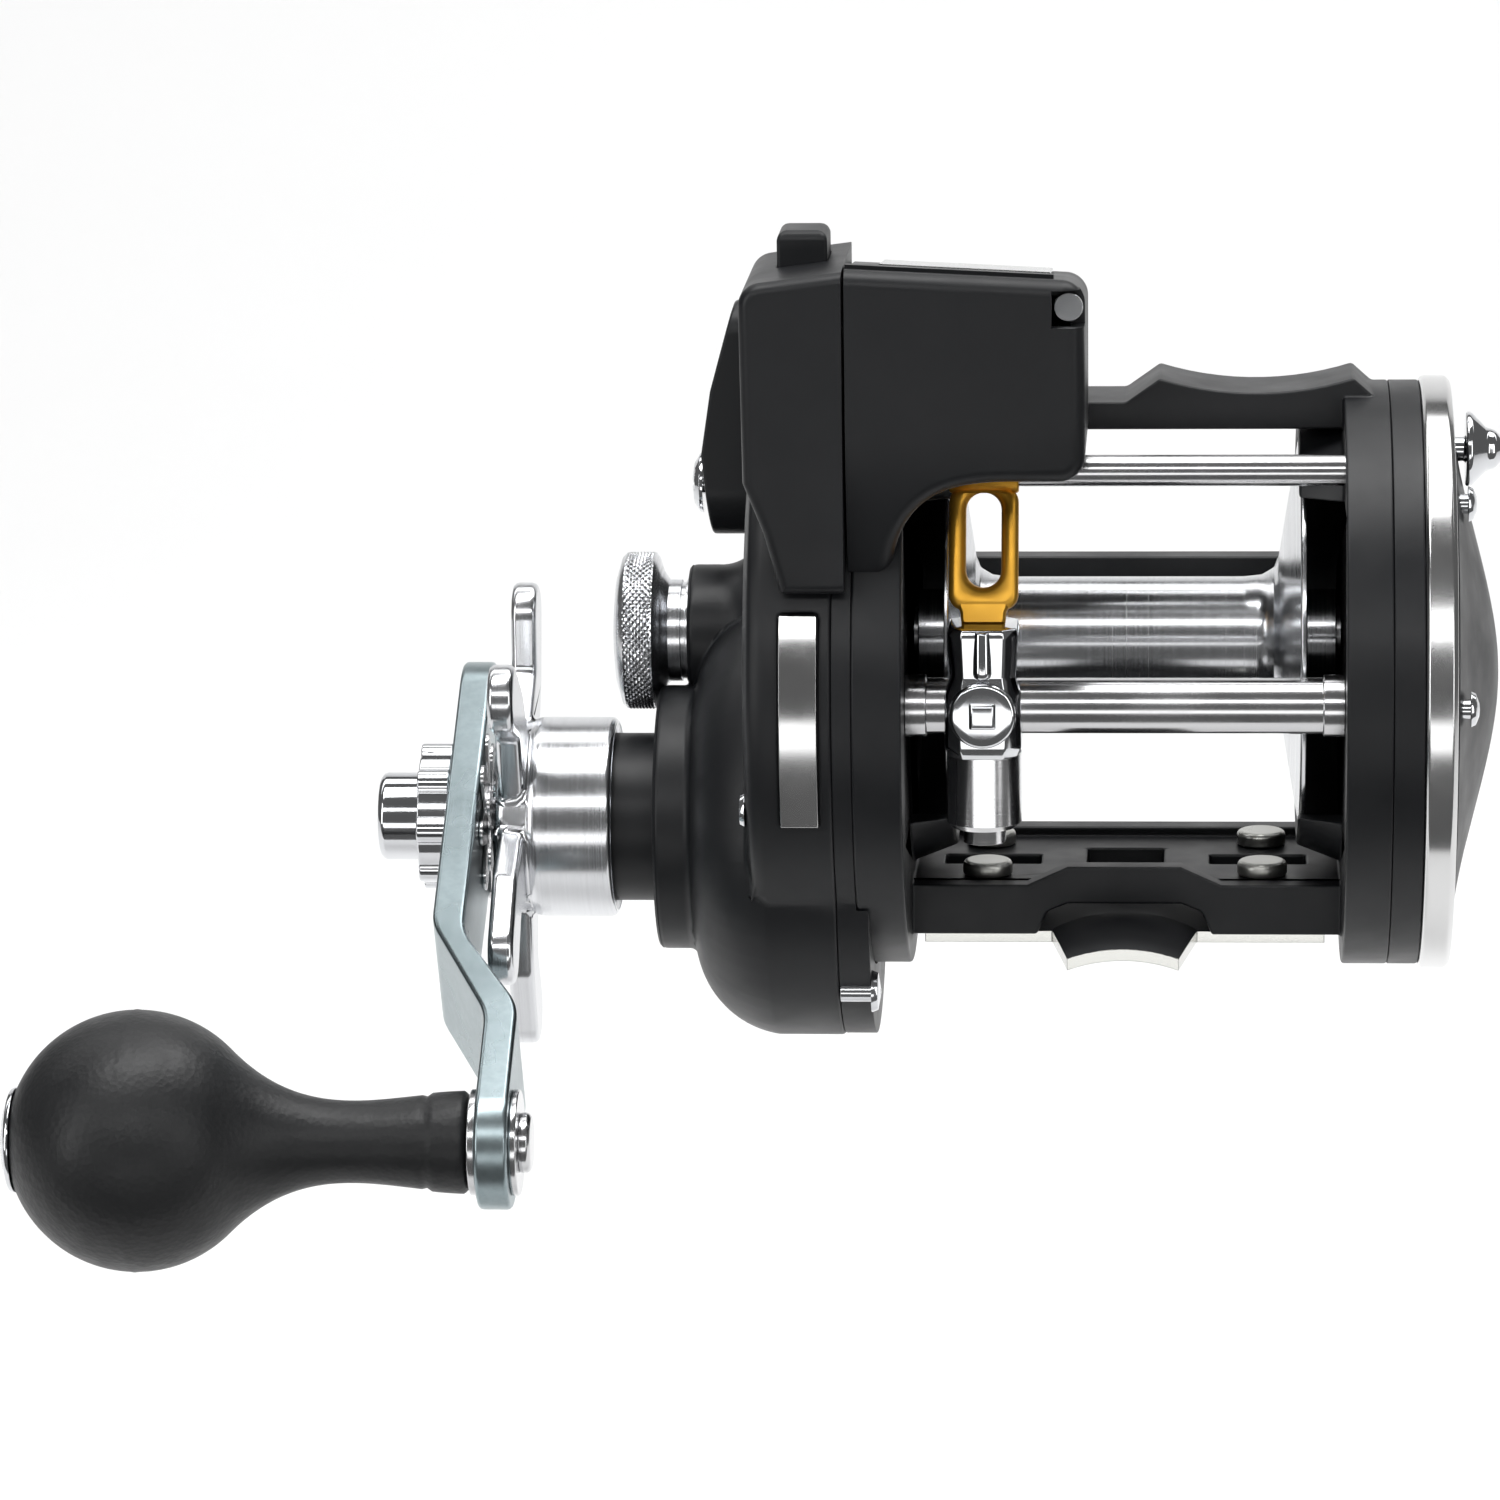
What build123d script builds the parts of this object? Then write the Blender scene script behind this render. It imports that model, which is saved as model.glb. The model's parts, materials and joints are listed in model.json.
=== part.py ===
from build123d import *
import os
from math import atan2, cos, hypot, pi, radians, sin

# Level-wind line counter trolling reel, in millimetres.
# Frame: the origin is the middle of the reel foot's underside, +Z is up off the rod,
# +X runs from the handle side to the palm side and -Y is the side the line leaves from.
# Every shaft is parallel to X, so a centre is written as (y, z).

# ---- driving dimensions ----
FIT = 0.05  # radial clearance of a running fit
RING_CENTRE = (-6.0, 33.0)  # middle of both side plates
RING_R = 36.2
LEFT_OUT, LEFT_IN = -32.3, -26.3  # handle side ring of the frame
RIGHT_IN, RIGHT_OUT = 26.8, 32.45  # palm side ring of the frame
MID_X = (LEFT_IN + RIGHT_IN) / 2

SPOOL_AXIS = (0.0, 37.0)
FLANGE_R = 24.3
ARBOR_R = 6.75
SHROUD_R = 25.2
SHAFT_R = 3.0
SLIM_SHAFT_R = 2.0
BEARING_R = 6.5
DRIVE_BEARING_R = 7.5

DRIVE_AXIS = (-7.0, 14.6)
DRIVE_TEETH, PINION_TEETH = 51, 10
GEARBOX_R = 27.2

THUMB_BAR_FRONT = -12.5
REST_PEAK = 70.9

WORM_AXIS = (-30.0, 33.8)
TUBE_R = 3.4
TUBE_BORE = 2.6
BAR_AXIS = (-23.5, 61.5)
BAR_R = 1.9
CARRIAGE_X = (-21.4, -12.15)

SPOOL_TEETH, IDLER_TEETH, WORM_TEETH = 14, 22, 22
LOWER_TEETH, UPPER_TEETH, COUNTER_TEETH = 18, 16, 20
TRAIN_X = (-37.2, -35.2)  # plane of the level-wind and counter gears

PLATE_X = -34.7  # inner face of the gear side plate
CIRCLE_X = -45.5  # outer face of its round part
WALL = 1.6

COUNTER_FRONT, COUNTER_BACK = -41.0, -14.0
COUNTER_TOP = 87.2  # right-hand end of its top, which rises to the left
COUNTER_RISE = 1.5
COUNTER_FALL = 0.11  # drop of its top for each millimetre towards the back
COUNTER_CORNER_R = 2.8
COUNTER_EDGE_R = 2.0
PANEL_BACK = -33.4
WHEEL_R = 8.2

ARM_LENGTH = 57.0
ARM_ANGLE = radians(60)  # handle arm, turned forwards from straight down
ARM_T = 4.0
ARM_BEND_R = 8.0
KNOB_R = 15.7


def along(start, angle, distance):
    """Point at a distance from another one, both as (y, z)."""
    return (start[0] + distance * cos(angle), start[1] + distance * sin(angle))


def direction(start, end):
    return atan2(end[1] - start[1], end[0] - start[0])


def distance(start, end):
    return hypot(end[0] - start[0], end[1] - start[1])


def next_phase(start, phase, teeth, end, other_teeth):
    """Angle of a tooth of the second gear, so that its gap faces a tooth of the first."""
    line = direction(start, end)
    part = ((line - phase) * teeth / (2 * pi)) % 1
    return line + pi - (0.5 - part) * 2 * pi / other_teeth


DRIVE_MODULE = 2 * distance(SPOOL_AXIS, DRIVE_AXIS) / (DRIVE_TEETH + PINION_TEETH)
TRAIN_MODULE = 2 * distance(SPOOL_AXIS, WORM_AXIS) / (SPOOL_TEETH + 2 * IDLER_TEETH + WORM_TEETH)
WIND_LINE = direction(SPOOL_AXIS, WORM_AXIS)
IDLER_AXIS = along(SPOOL_AXIS, WIND_LINE, TRAIN_MODULE * (SPOOL_TEETH + IDLER_TEETH) / 2)
COUNTER_LINE = radians(83.1)
LOWER_AXIS = along(WORM_AXIS, COUNTER_LINE, TRAIN_MODULE * (WORM_TEETH + LOWER_TEETH) / 2)
UPPER_AXIS = along(LOWER_AXIS, COUNTER_LINE, TRAIN_MODULE * (LOWER_TEETH + UPPER_TEETH) / 2)
COUNTER_AXIS = along(UPPER_AXIS, COUNTER_LINE, TRAIN_MODULE * (UPPER_TEETH + COUNTER_TEETH) / 2)
KNOB_AXIS = (DRIVE_AXIS[0] - ARM_LENGTH * sin(ARM_ANGLE), DRIVE_AXIS[1] - ARM_LENGTH * cos(ARM_ANGLE))

LEVER_AXIS = (1.5, 55.6)
LEVER_X = -52.6  # outermost face of the lever
DOG_AXIS = (8.0, 13.0)
YOKE_POSTS = [(-7.5, 46.0), (7.5, 46.0)]
BUTTON_AT = (-6.0, 61.0)
PLATE_SCREWS = [along(RING_CENTRE, radians(angle), 31.8) for angle in (200, 350)]
LOBE_SCREW = (-27.5, -2.6)
COVER_SCREW_ANGLES = (-62, 118, 178)
COVER_SCREW_R = 26.5
COUNTER_SCREW = (-6.2, 83.8)  # as (x, z)
RIVETS = [(-17.1, -8.2), (-17.1, 8.2), (17.1, -8.2), (17.1, 8.2)]


# ---- shapes used again and again ----
def rod(x_from, x_to, radius, centre, mode=Mode.ADD):
    """Cylinder parallel to X."""
    with BuildSketch(Plane.YZ.offset(x_from)) as face:
        with Locations(centre):
            Circle(radius)
    extrude(face.sketch, amount=x_to - x_from, mode=mode)


def turned(profile, centre, mode=Mode.ADD, curve=None):
    """Solid turned about an axis parallel to X, from (x, radius) points.

    An arc through the curve's middle point can close the profile from its last point to its first.
    """
    with BuildSketch(Plane(origin=(0, *centre), x_dir=(1, 0, 0), z_dir=(0, -1, 0))) as face:
        with BuildLine():
            Polyline(*profile, close=curve is None)
            if curve is not None:
                ThreePointArc(profile[-1], curve, profile[0])
        make_face()
    revolve(face.sketch, axis=Axis((0, *centre), (1, 0, 0)), mode=mode)


def block(x, y, z, mode=Mode.ADD):
    """Box between two values on each axis."""
    with BuildSketch(Plane.XY.offset(z[0])) as face:
        with Locations(((x[0] + x[1]) / 2, (y[0] + y[1]) / 2)):
            Rectangle(x[1] - x[0], y[1] - y[0])
    extrude(face.sketch, amount=z[1] - z[0], mode=mode)


def plate_x(outline, x_from, x_to, mode=Mode.ADD):
    """Flat plate across X from (y, z) points."""
    with BuildSketch(Plane.YZ.offset(x_from)) as face:
        with BuildLine():
            Polyline(*outline, close=True)
        make_face()
    extrude(face.sketch, amount=x_to - x_from, mode=mode)


def plate_y(outline, y_from, y_to, mode=Mode.ADD):
    """Flat plate across Y from (x, z) points."""
    with BuildSketch(Plane.XZ.offset(-y_from)) as face:
        with BuildLine():
            Polyline(*outline, close=True)
        make_face()
    extrude(face.sketch, amount=y_from - y_to, mode=mode)


def sloping_plate(outline, y_from, y_to, mode=Mode.ADD):
    """Plate from (x, z) points at its front, which drops towards its back with the counter's top."""
    with BuildSketch(Plane.XZ.offset(-y_from)) as face:
        with BuildLine():
            Polyline(*outline, close=True)
        make_face()
    length = (y_to - y_from) * hypot(1, COUNTER_FALL)
    extrude(face.sketch, amount=length, dir=(0, 1, -COUNTER_FALL), mode=mode)


def stadium(x_from, x_to, start, end, start_r, end_r, mode=Mode.ADD):
    """Link outline round two centres, extruded along X."""
    line = direction(start, end)
    lean = atan2(start_r - end_r, distance(start, end))
    corners = []
    for centre, radius, side in ((start, start_r, 1), (end, end_r, 1), (end, end_r, -1), (start, start_r, -1)):
        corners.append(along(centre, line + side * (pi / 2 - lean), radius))
    with BuildSketch(Plane.YZ.offset(x_from)) as face:
        with BuildLine():
            Polyline(*corners, close=True)
        make_face()
        with Locations(start):
            Circle(start_r)
        with Locations(end):
            Circle(end_r)
    extrude(face.sketch, amount=x_to - x_from, mode=mode)


def gear(teeth, module, x_from, x_to, centre, bore, phase):
    """Thin-toothed spur gear with one tooth at the given angle."""
    pitch_r = teeth * module / 2
    root_r = pitch_r - 1.15 * module
    tip_r = pitch_r + 0.85 * module
    step = 2 * pi / teeth
    outline = []
    for tooth in range(teeth):
        angle = phase + tooth * step
        outline.append(along(centre, angle - 0.26 * step, root_r))
        outline.append(along(centre, angle - 0.12 * step, tip_r))
        outline.append(along(centre, angle + 0.12 * step, tip_r))
        outline.append(along(centre, angle + 0.26 * step, root_r))
    plate_x(outline, x_from, x_to)
    if bore:
        rod(x_from - 1, x_to + 1, bore, centre, mode=Mode.SUBTRACT)


def write(piece, name):
    piece.part.label = name
    export_step(piece.part, "parts/" + name + ".step")


os.makedirs("parts", exist_ok=True)

# ---- frame: two rings, bottom plate, thumb bar and rear bar in one moulding ----
with BuildPart() as frame:
    for inner, outer in ((LEFT_IN, LEFT_OUT), (RIGHT_IN, RIGHT_OUT)):
        rod(min(inner, outer), max(inner, outer), RING_R, RING_CENTRE)
    # bottom plate with a front wall that arches over the foot's tongue
    block((LEFT_IN, RIGHT_IN), (-14, 13), (1.5, 7.6))
    front_wall = [(LEFT_IN, 1.5), (LEFT_IN, 7.8), (-12, 7.8), (-7, 10.1), (7, 10.1), (12, 7.8)]
    front_wall += [(RIGHT_IN, 7.8), (RIGHT_IN, 1.5)]
    plate_y(front_wall, -15, -12)
    arch = [(-11.5, 0), (-9.5, 4.4), (-7, 5.4), (7, 5.4), (9.5, 4.4), (11.5, 0)]
    plate_y(arch, -16, 14, mode=Mode.SUBTRACT)
    # thumb bar, with its two-peaked rest
    block((LEFT_IN, RIGHT_IN), (THUMB_BAR_FRONT, 0), (64.6, 68))
    with BuildSketch(Plane.XZ.offset(-THUMB_BAR_FRONT)) as rest_side:
        with BuildLine():
            ThreePointArc((4.4, REST_PEAK), (16.2, 69.1), (28, REST_PEAK))
            Polyline((28, REST_PEAK), (31.2, 68), (31.2, 66), (0.3, 66), (0.3, 68), (4.4, REST_PEAK))
        make_face()
    extrude(rest_side.sketch, amount=THUMB_BAR_FRONT)
    # rear bar behind the spool
    block((LEFT_IN, RIGHT_IN), (25.4, 29.4), (36.5, 41.5))
    block((LEFT_IN, RIGHT_IN), (12.5, 16), (4.4, 8.8))
    # conical shroud lips round the spool's flanges, cut away in front for the level wind
    for inner, lip in ((LEFT_IN, -1), (RIGHT_IN, 1)):
        reach = MID_X + lip * 21.1
        root = inner + lip * 0.5
        turned([(root, SHROUD_R + 3.8), (reach, SHROUD_R + 1.5), (reach, 24), (root, 24)], SPOOL_AXIS)
        low, high = sorted((inner + lip * 0.4, reach - lip))
        block((low, high), (-32.5, -13), (17, 57), mode=Mode.SUBTRACT)
    rod(LEFT_OUT - 1, RIGHT_OUT + 1, SHROUD_R, SPOOL_AXIS, mode=Mode.SUBTRACT)
    # windows in the bottom plate
    with BuildSketch(Plane.XY.offset(1)) as windows:
        Rectangle(9.6, 12)
        with Locations((-16.6, 0), (16.6, 0)):
            Rectangle(12, 5)
    extrude(windows.sketch, amount=10, mode=Mode.SUBTRACT)
    with BuildSketch(Plane.XY.offset(1)) as rivet_holes:
        with Locations(*RIVETS):
            Circle(1.6)
    extrude(rivet_holes.sketch, amount=10, mode=Mode.SUBTRACT)
    for centre, radius in ((WORM_AXIS, TUBE_R), (BAR_AXIS, BAR_R)):
        rod(LEFT_OUT - 1, RIGHT_OUT + 1, radius, centre, mode=Mode.SUBTRACT)
write(frame, "frame")

# ---- reel foot: flat plate with an arched tongue at each end ----
with BuildPart() as reel_foot:
    block((-24.8, 24.8), (-13, 13), (0, 1.5))
    for side in (-1, 1):
        with BuildSketch(Plane.XZ.offset(-side * 12)) as section:
            with BuildLine():
                ThreePointArc((-9, 0), (0, 2.2), (9, 0))
                Line((9, 0), (9, 1.5))
                ThreePointArc((9, 1.5), (0, 3.7), (-9, 1.5))
                Line((-9, 1.5), (-9, 0))
            make_face()
        extrude(section.sketch, amount=-side * 19)
    with BuildSketch() as outline:
        with BuildLine():
            Polyline((-24.8, -13), (-9, -13), (-6.8, -31), (6.8, -31), (9, -13), (24.8, -13),
                     (24.8, 13), (9, 13), (6.8, 31), (-6.8, 31), (-9, 13), (-24.8, 13), close=True)
        make_face()
    extrude(outline.sketch, amount=6, mode=Mode.INTERSECT)
    with Locations(*[(x, y, 1.5) for x, y in RIVETS]):
        Hole(1.6)
write(reel_foot, "reel_foot")

with BuildPart() as foot_rivets:
    with BuildSketch(Plane.XY.offset(0.05)) as shanks:
        with Locations(*RIVETS):
            Circle(1.6)
    extrude(shanks.sketch, amount=7.65)
    with BuildSketch(Plane.XY.offset(7.7)) as heads:
        with Locations(*RIVETS):
            Circle(3.1)
    extrude(heads.sketch, amount=1.8)
    chamfer(foot_rivets.edges().group_by(Axis.Z)[-1], 0.4)
write(foot_rivets, "foot_rivets")

# ---- palm side ----
with BuildPart() as palm_side_plate:
    turned([(RIGHT_OUT, 0), (RIGHT_OUT, RING_R), (36, RING_R), (36.2, RING_R - 0.2), (36.2, 0)], RING_CENTRE)
    rod(29.4, 34.5, BEARING_R + 2, SPOOL_AXIS)
    rod(29, 33.4, BEARING_R, SPOOL_AXIS, mode=Mode.SUBTRACT)
    rod(29, 38, SHAFT_R + 0.4, SPOOL_AXIS, mode=Mode.SUBTRACT)
    for centre, radius in ((WORM_AXIS, TUBE_R), (BAR_AXIS, BAR_R)):
        rod(RIGHT_OUT - 1, 34.2, radius, centre, mode=Mode.SUBTRACT)
write(palm_side_plate, "palm_side_plate")

with BuildPart() as palm_trim_ring:
    turned([(36.2, 31), (36.2, 36.3), (36.6, 36.7), (39.4, 36.7), (40, 36.1), (40, 31)], RING_CENTRE)
write(palm_trim_ring, "palm_trim_ring")

DOME_EDGE_X, DOME_X = 40.4, 46.2
with BuildPart() as palm_cover:
    for inset, x_from, mode in ((0, 36.25, Mode.ADD), (WALL, 36.0, Mode.SUBTRACT)):
        edge_r = 30.95 - inset
        dome = [(DOME_X - inset, 0), (45.4 - inset, 8), (42.0 - inset, 22), (DOME_EDGE_X - inset, edge_r - 1)]
        with BuildSketch(Plane(origin=(0, *RING_CENTRE), x_dir=(1, 0, 0), z_dir=(0, -1, 0))) as shell:
            with BuildLine():
                Spline(*dome, tangents=[(0, 1), (-0.16, 1)])
                Polyline(dome[-1], (39.4 - inset, edge_r), (x_from, edge_r), (x_from, 0), dome[0])
            make_face()
        revolve(shell.sketch, axis=Axis((0, *RING_CENTRE), (1, 0, 0)), mode=mode)
    # slot for the clicker button
    block((38, 46), (-7.6, -4.4), (53.4, 62.6), mode=Mode.SUBTRACT)
    for angle in COVER_SCREW_ANGLES:
        rod(36, 44, 1.2, along(RING_CENTRE, radians(angle), COVER_SCREW_R), mode=Mode.SUBTRACT)
write(palm_cover, "palm_cover")

with BuildPart() as clicker_button:
    turned([(39.0, 0), (39.0, 1.5), (41.9, 1.5), (41.9, 4.6), (42.6, 4.6), (44.4, 2.7), (45.6, 2.3),
            (46.3, 1.4), (46.4, 0)], BUTTON_AT)
write(clicker_button, "clicker_button")

with BuildPart() as clicker_tongue:
    block((37.0, 38.2), (-7.6, -0.4), (54.5, 60.5))
    plate_x([(-3.6, 55), (-0.4, 55), (-0.8, 50), (-1.6, 49.2), (-2.4, 50)], 37.0, 38.2)
    block((38.2, 39.0), (-7.3, -4.7), (57, 60.5))
    block((38.2, 39.0), (-7.3, -4.7), (60, 62.5))
write(clicker_tongue, "clicker_tongue")

# ---- spool and what turns with it ----
HALF = [(0, ARBOR_R), (14.5, ARBOR_R), (16.8, 7.0), (18.3, 7.9), (18.9, 9.4), (21.3, FLANGE_R - 0.3),
        (21.5, FLANGE_R), (22.1, FLANGE_R), (22.1, 23.4), (20.4, 9.4), (20.4, 5.2), (26, 5.2), (26, SHAFT_R)]
with BuildPart() as spool:
    right = [(MID_X + x, radius) for x, radius in HALF]
    left = [(MID_X - x, radius) for x, radius in reversed(HALF[1:])]
    turned(left + right, SPOOL_AXIS)
write(spool, "spool")

with BuildPart() as spool_shaft:
    turned([(-52.4, 0), (-52.4, SLIM_SHAFT_R), (-34.9, SLIM_SHAFT_R), (-34.9, SHAFT_R), (38.6, SHAFT_R),
            (38.6, 0)], SPOOL_AXIS)
    # dog that the pinion's slot drives
    block((-39.2, -38.3), (-4.2, 4.2), (35.4, 38.6))
write(spool_shaft, "spool_shaft")

with BuildPart() as shaft_bearings:
    for x_from in (-33.2, 29.4):
        rod(x_from, x_from + 4, BEARING_R, SPOOL_AXIS)
        rod(x_from - 1, x_from + 5, SHAFT_R + FIT, SPOOL_AXIS, mode=Mode.SUBTRACT)
    rod(-64.4, -60.4, DRIVE_BEARING_R, DRIVE_AXIS)
    rod(-66, -60, 3.5 + FIT, DRIVE_AXIS, mode=Mode.SUBTRACT)
write(shaft_bearings, "shaft_bearings")

with BuildPart() as click_gear:
    gear(16, 0.84, 37.0, 38.4, SPOOL_AXIS, SHAFT_R, 0)
write(click_gear, "click_gear")

spool_phase = 0.0
with BuildPart() as spool_gear:
    gear(SPOOL_TEETH, TRAIN_MODULE, *TRAIN_X, SPOOL_AXIS, SLIM_SHAFT_R, spool_phase)
write(spool_gear, "spool_gear")

idler_phase = next_phase(SPOOL_AXIS, spool_phase, SPOOL_TEETH, IDLER_AXIS, IDLER_TEETH)
with BuildPart() as wind_idler_gear:
    gear(IDLER_TEETH, TRAIN_MODULE, *TRAIN_X, IDLER_AXIS, 1.5 + FIT, idler_phase)
write(wind_idler_gear, "wind_idler_gear")

worm_phase = next_phase(IDLER_AXIS, idler_phase, IDLER_TEETH, WORM_AXIS, WORM_TEETH)
with BuildPart() as worm_gear:
    gear(WORM_TEETH, TRAIN_MODULE, *TRAIN_X, WORM_AXIS, 1.6, worm_phase)
write(worm_gear, "worm_gear")

lower_phase = next_phase(WORM_AXIS, worm_phase, WORM_TEETH, LOWER_AXIS, LOWER_TEETH)
with BuildPart() as lower_counter_idler:
    gear(LOWER_TEETH, TRAIN_MODULE, *TRAIN_X, LOWER_AXIS, 1.5 + FIT, lower_phase)
write(lower_counter_idler, "lower_counter_idler")

upper_phase = next_phase(LOWER_AXIS, lower_phase, LOWER_TEETH, UPPER_AXIS, UPPER_TEETH)
with BuildPart() as upper_counter_idler:
    gear(UPPER_TEETH, TRAIN_MODULE, *TRAIN_X, UPPER_AXIS, 1.5 + FIT, upper_phase)
write(upper_counter_idler, "upper_counter_idler")

counter_phase = next_phase(UPPER_AXIS, upper_phase, UPPER_TEETH, COUNTER_AXIS, COUNTER_TEETH)
with BuildPart() as counter_gear:
    gear(COUNTER_TEETH, TRAIN_MODULE, *TRAIN_X, COUNTER_AXIS, 1.5, counter_phase)
write(counter_gear, "counter_gear")

with BuildPart() as gear_case_pins:
    for centre in (IDLER_AXIS, LOWER_AXIS, UPPER_AXIS):
        rod(-38.4, PLATE_X, 1.5, centre)
        rod(-38.4, -37.6, 2.4, centre)
    for post in YOKE_POSTS:
        rod(-43.7, PLATE_X, 1.1, post)
    rod(-40.8, PLATE_X, 1.2, DOG_AXIS)
    rod(-41.4, -40.5, 2.0, DOG_AXIS)
write(gear_case_pins, "gear_case_pins")

# ---- level wind ----
with BuildPart() as worm_shaft:
    turned([(-37.2, 0), (-37.2, 1.6), (-31.2, 1.6), (-31.2, 2.2), (31.2, 2.2),
            (31.2, 1.6), (33.8, 1.6), (33.8, 0)], WORM_AXIS)
    # crossed line-laying groove, shown as even rings
    for turn in range(19):
        x = -18 + turn * 2
        turned([(x - 0.5, 1.9), (x - 0.5, 2.4), (x + 0.5, 2.4), (x + 0.5, 1.9)], WORM_AXIS, mode=Mode.SUBTRACT)
write(worm_shaft, "worm_shaft")

with BuildPart() as worm_guard_tube:
    rod(LEFT_OUT, 34.2, TUBE_R, WORM_AXIS)
    for x_from, x_to in ((LEFT_IN, LEFT_IN + 2.6), (RIGHT_IN - 2.6, RIGHT_IN)):
        rod(x_from, x_to, TUBE_R + 0.35, WORM_AXIS)
    rod(LEFT_OUT - 1, 35, TUBE_BORE, WORM_AXIS, mode=Mode.SUBTRACT)
    # slot underneath for the pawl
    block((-19.5, 20), (-31.3, -28.7), (28, 33.8), mode=Mode.SUBTRACT)
write(worm_guard_tube, "worm_guard_tube")

with BuildPart() as worm_bushings:
    for x_from, x_to in ((LEFT_OUT, -31.3), (31.3, 34.0)):
        rod(x_from, x_to, TUBE_BORE, WORM_AXIS)
        rod(x_from - 1, x_to + 1, 1.6 + FIT, WORM_AXIS, mode=Mode.SUBTRACT)
write(worm_bushings, "worm_bushings")

with BuildPart() as upper_guide_bar:
    rod(LEFT_OUT, 34.0, BAR_R, BAR_AXIS)
write(upper_guide_bar, "upper_guide_bar")

CARRIAGE_MID = (CARRIAGE_X[0] + CARRIAGE_X[1]) / 2
with BuildPart() as line_guide_carriage:
    block(CARRIAGE_X, (-35.2, -25.4), (28.2, 44.1))
    chamfer(line_guide_carriage.edges().filter_by(Axis.Z), 1.5)
    chamfer(line_guide_carriage.faces().sort_by(Axis.Z)[-1].edges(), 0.6)
    # waist hollows on both sides of the small square boss
    for side in (-1, 1):
        x = CARRIAGE_MID + side * 5.4
        with BuildSketch(Plane.XZ.offset(33)) as waist:
            with Locations((x, 38.6)):
                Circle(2.3)
        extrude(waist.sketch, amount=4, mode=Mode.SUBTRACT)
    block((CARRIAGE_MID - 1.6, CARRIAGE_MID + 1.6), (-35.8, -35), (31.2, 34.6))
    rod(CARRIAGE_X[0] - 1, CARRIAGE_X[1] + 1, TUBE_R + FIT, WORM_AXIS, mode=Mode.SUBTRACT)
    with BuildSketch(Plane.XY.offset(27)) as pawl_hole:
        with Locations((CARRIAGE_MID, WORM_AXIS[0])):
            Circle(2.1)
    extrude(pawl_hole.sketch, amount=4, mode=Mode.SUBTRACT)
write(line_guide_carriage, "line_guide_carriage")

LEAN = atan2(BAR_AXIS[0] - WORM_AXIS[0], BAR_AXIS[1] - 44.1)
guide_plane = Plane(origin=(CARRIAGE_MID, -30.9, 44.5), x_dir=(1, 0, 0), z_dir=(0, -cos(LEAN), sin(LEAN)))
with BuildPart() as line_guide:
    with BuildSketch(guide_plane):
        with BuildLine():
            Polyline((-2.7, 0), (2.7, 0), (2.9, 0.9), (4.22, 1.6), (4.22, 18.2), (-4.22, 18.2),
                     (-4.22, 1.6), (-2.9, 0.9), close=True)
        make_face()
        with Locations((0, 9.9)):
            SlotOverall(11.6, 4.24, rotation=90, mode=Mode.SUBTRACT)
    extrude(amount=-1.7)
    chamfer(line_guide.faces().sort_by(Axis.Y)[0].edges(), 0.35)
    rod(CARRIAGE_MID - 4.2, CARRIAGE_MID + 4.2, 2.7, BAR_AXIS)
    rod(CARRIAGE_MID - 5, CARRIAGE_MID + 5, BAR_R + FIT, BAR_AXIS, mode=Mode.SUBTRACT)
write(line_guide, "line_guide")

with BuildPart() as pawl:
    with BuildSketch(Plane.XY.offset(24)) as stem:
        with Locations((CARRIAGE_MID, WORM_AXIS[0])):
            Circle(2.0)
    extrude(stem.sketch, amount=5.6)
    block((CARRIAGE_MID - 0.9, CARRIAGE_MID + 0.9), (-30.6, -29.4), (29.6, 31.4))
write(pawl, "pawl")

with BuildPart() as pawl_cap:
    with BuildSketch(Plane.XY.offset(18.9)) as cap:
        with Locations((CARRIAGE_MID, WORM_AXIS[0])):
            Circle(4.55)
    extrude(cap.sketch, amount=9.3)
    chamfer(pawl_cap.edges().sort_by(Axis.Z)[0], 0.7)
    with BuildSketch(Plane.XY.offset(17)) as nub:
        with Locations((CARRIAGE_MID, WORM_AXIS[0])):
            Circle(2.6)
    extrude(nub.sketch, amount=2.2)
    with BuildSketch(Plane.XY.offset(23.8)) as socket:
        with Locations((CARRIAGE_MID, WORM_AXIS[0])):
            Circle(2.0 + FIT)
    extrude(socket.sketch, amount=5, mode=Mode.SUBTRACT)
    block((CARRIAGE_MID - 5, CARRIAGE_MID + 5), (-30.5, -29.5), (16, 18), mode=Mode.SUBTRACT)
write(pawl_cap, "pawl_cap")

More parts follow.
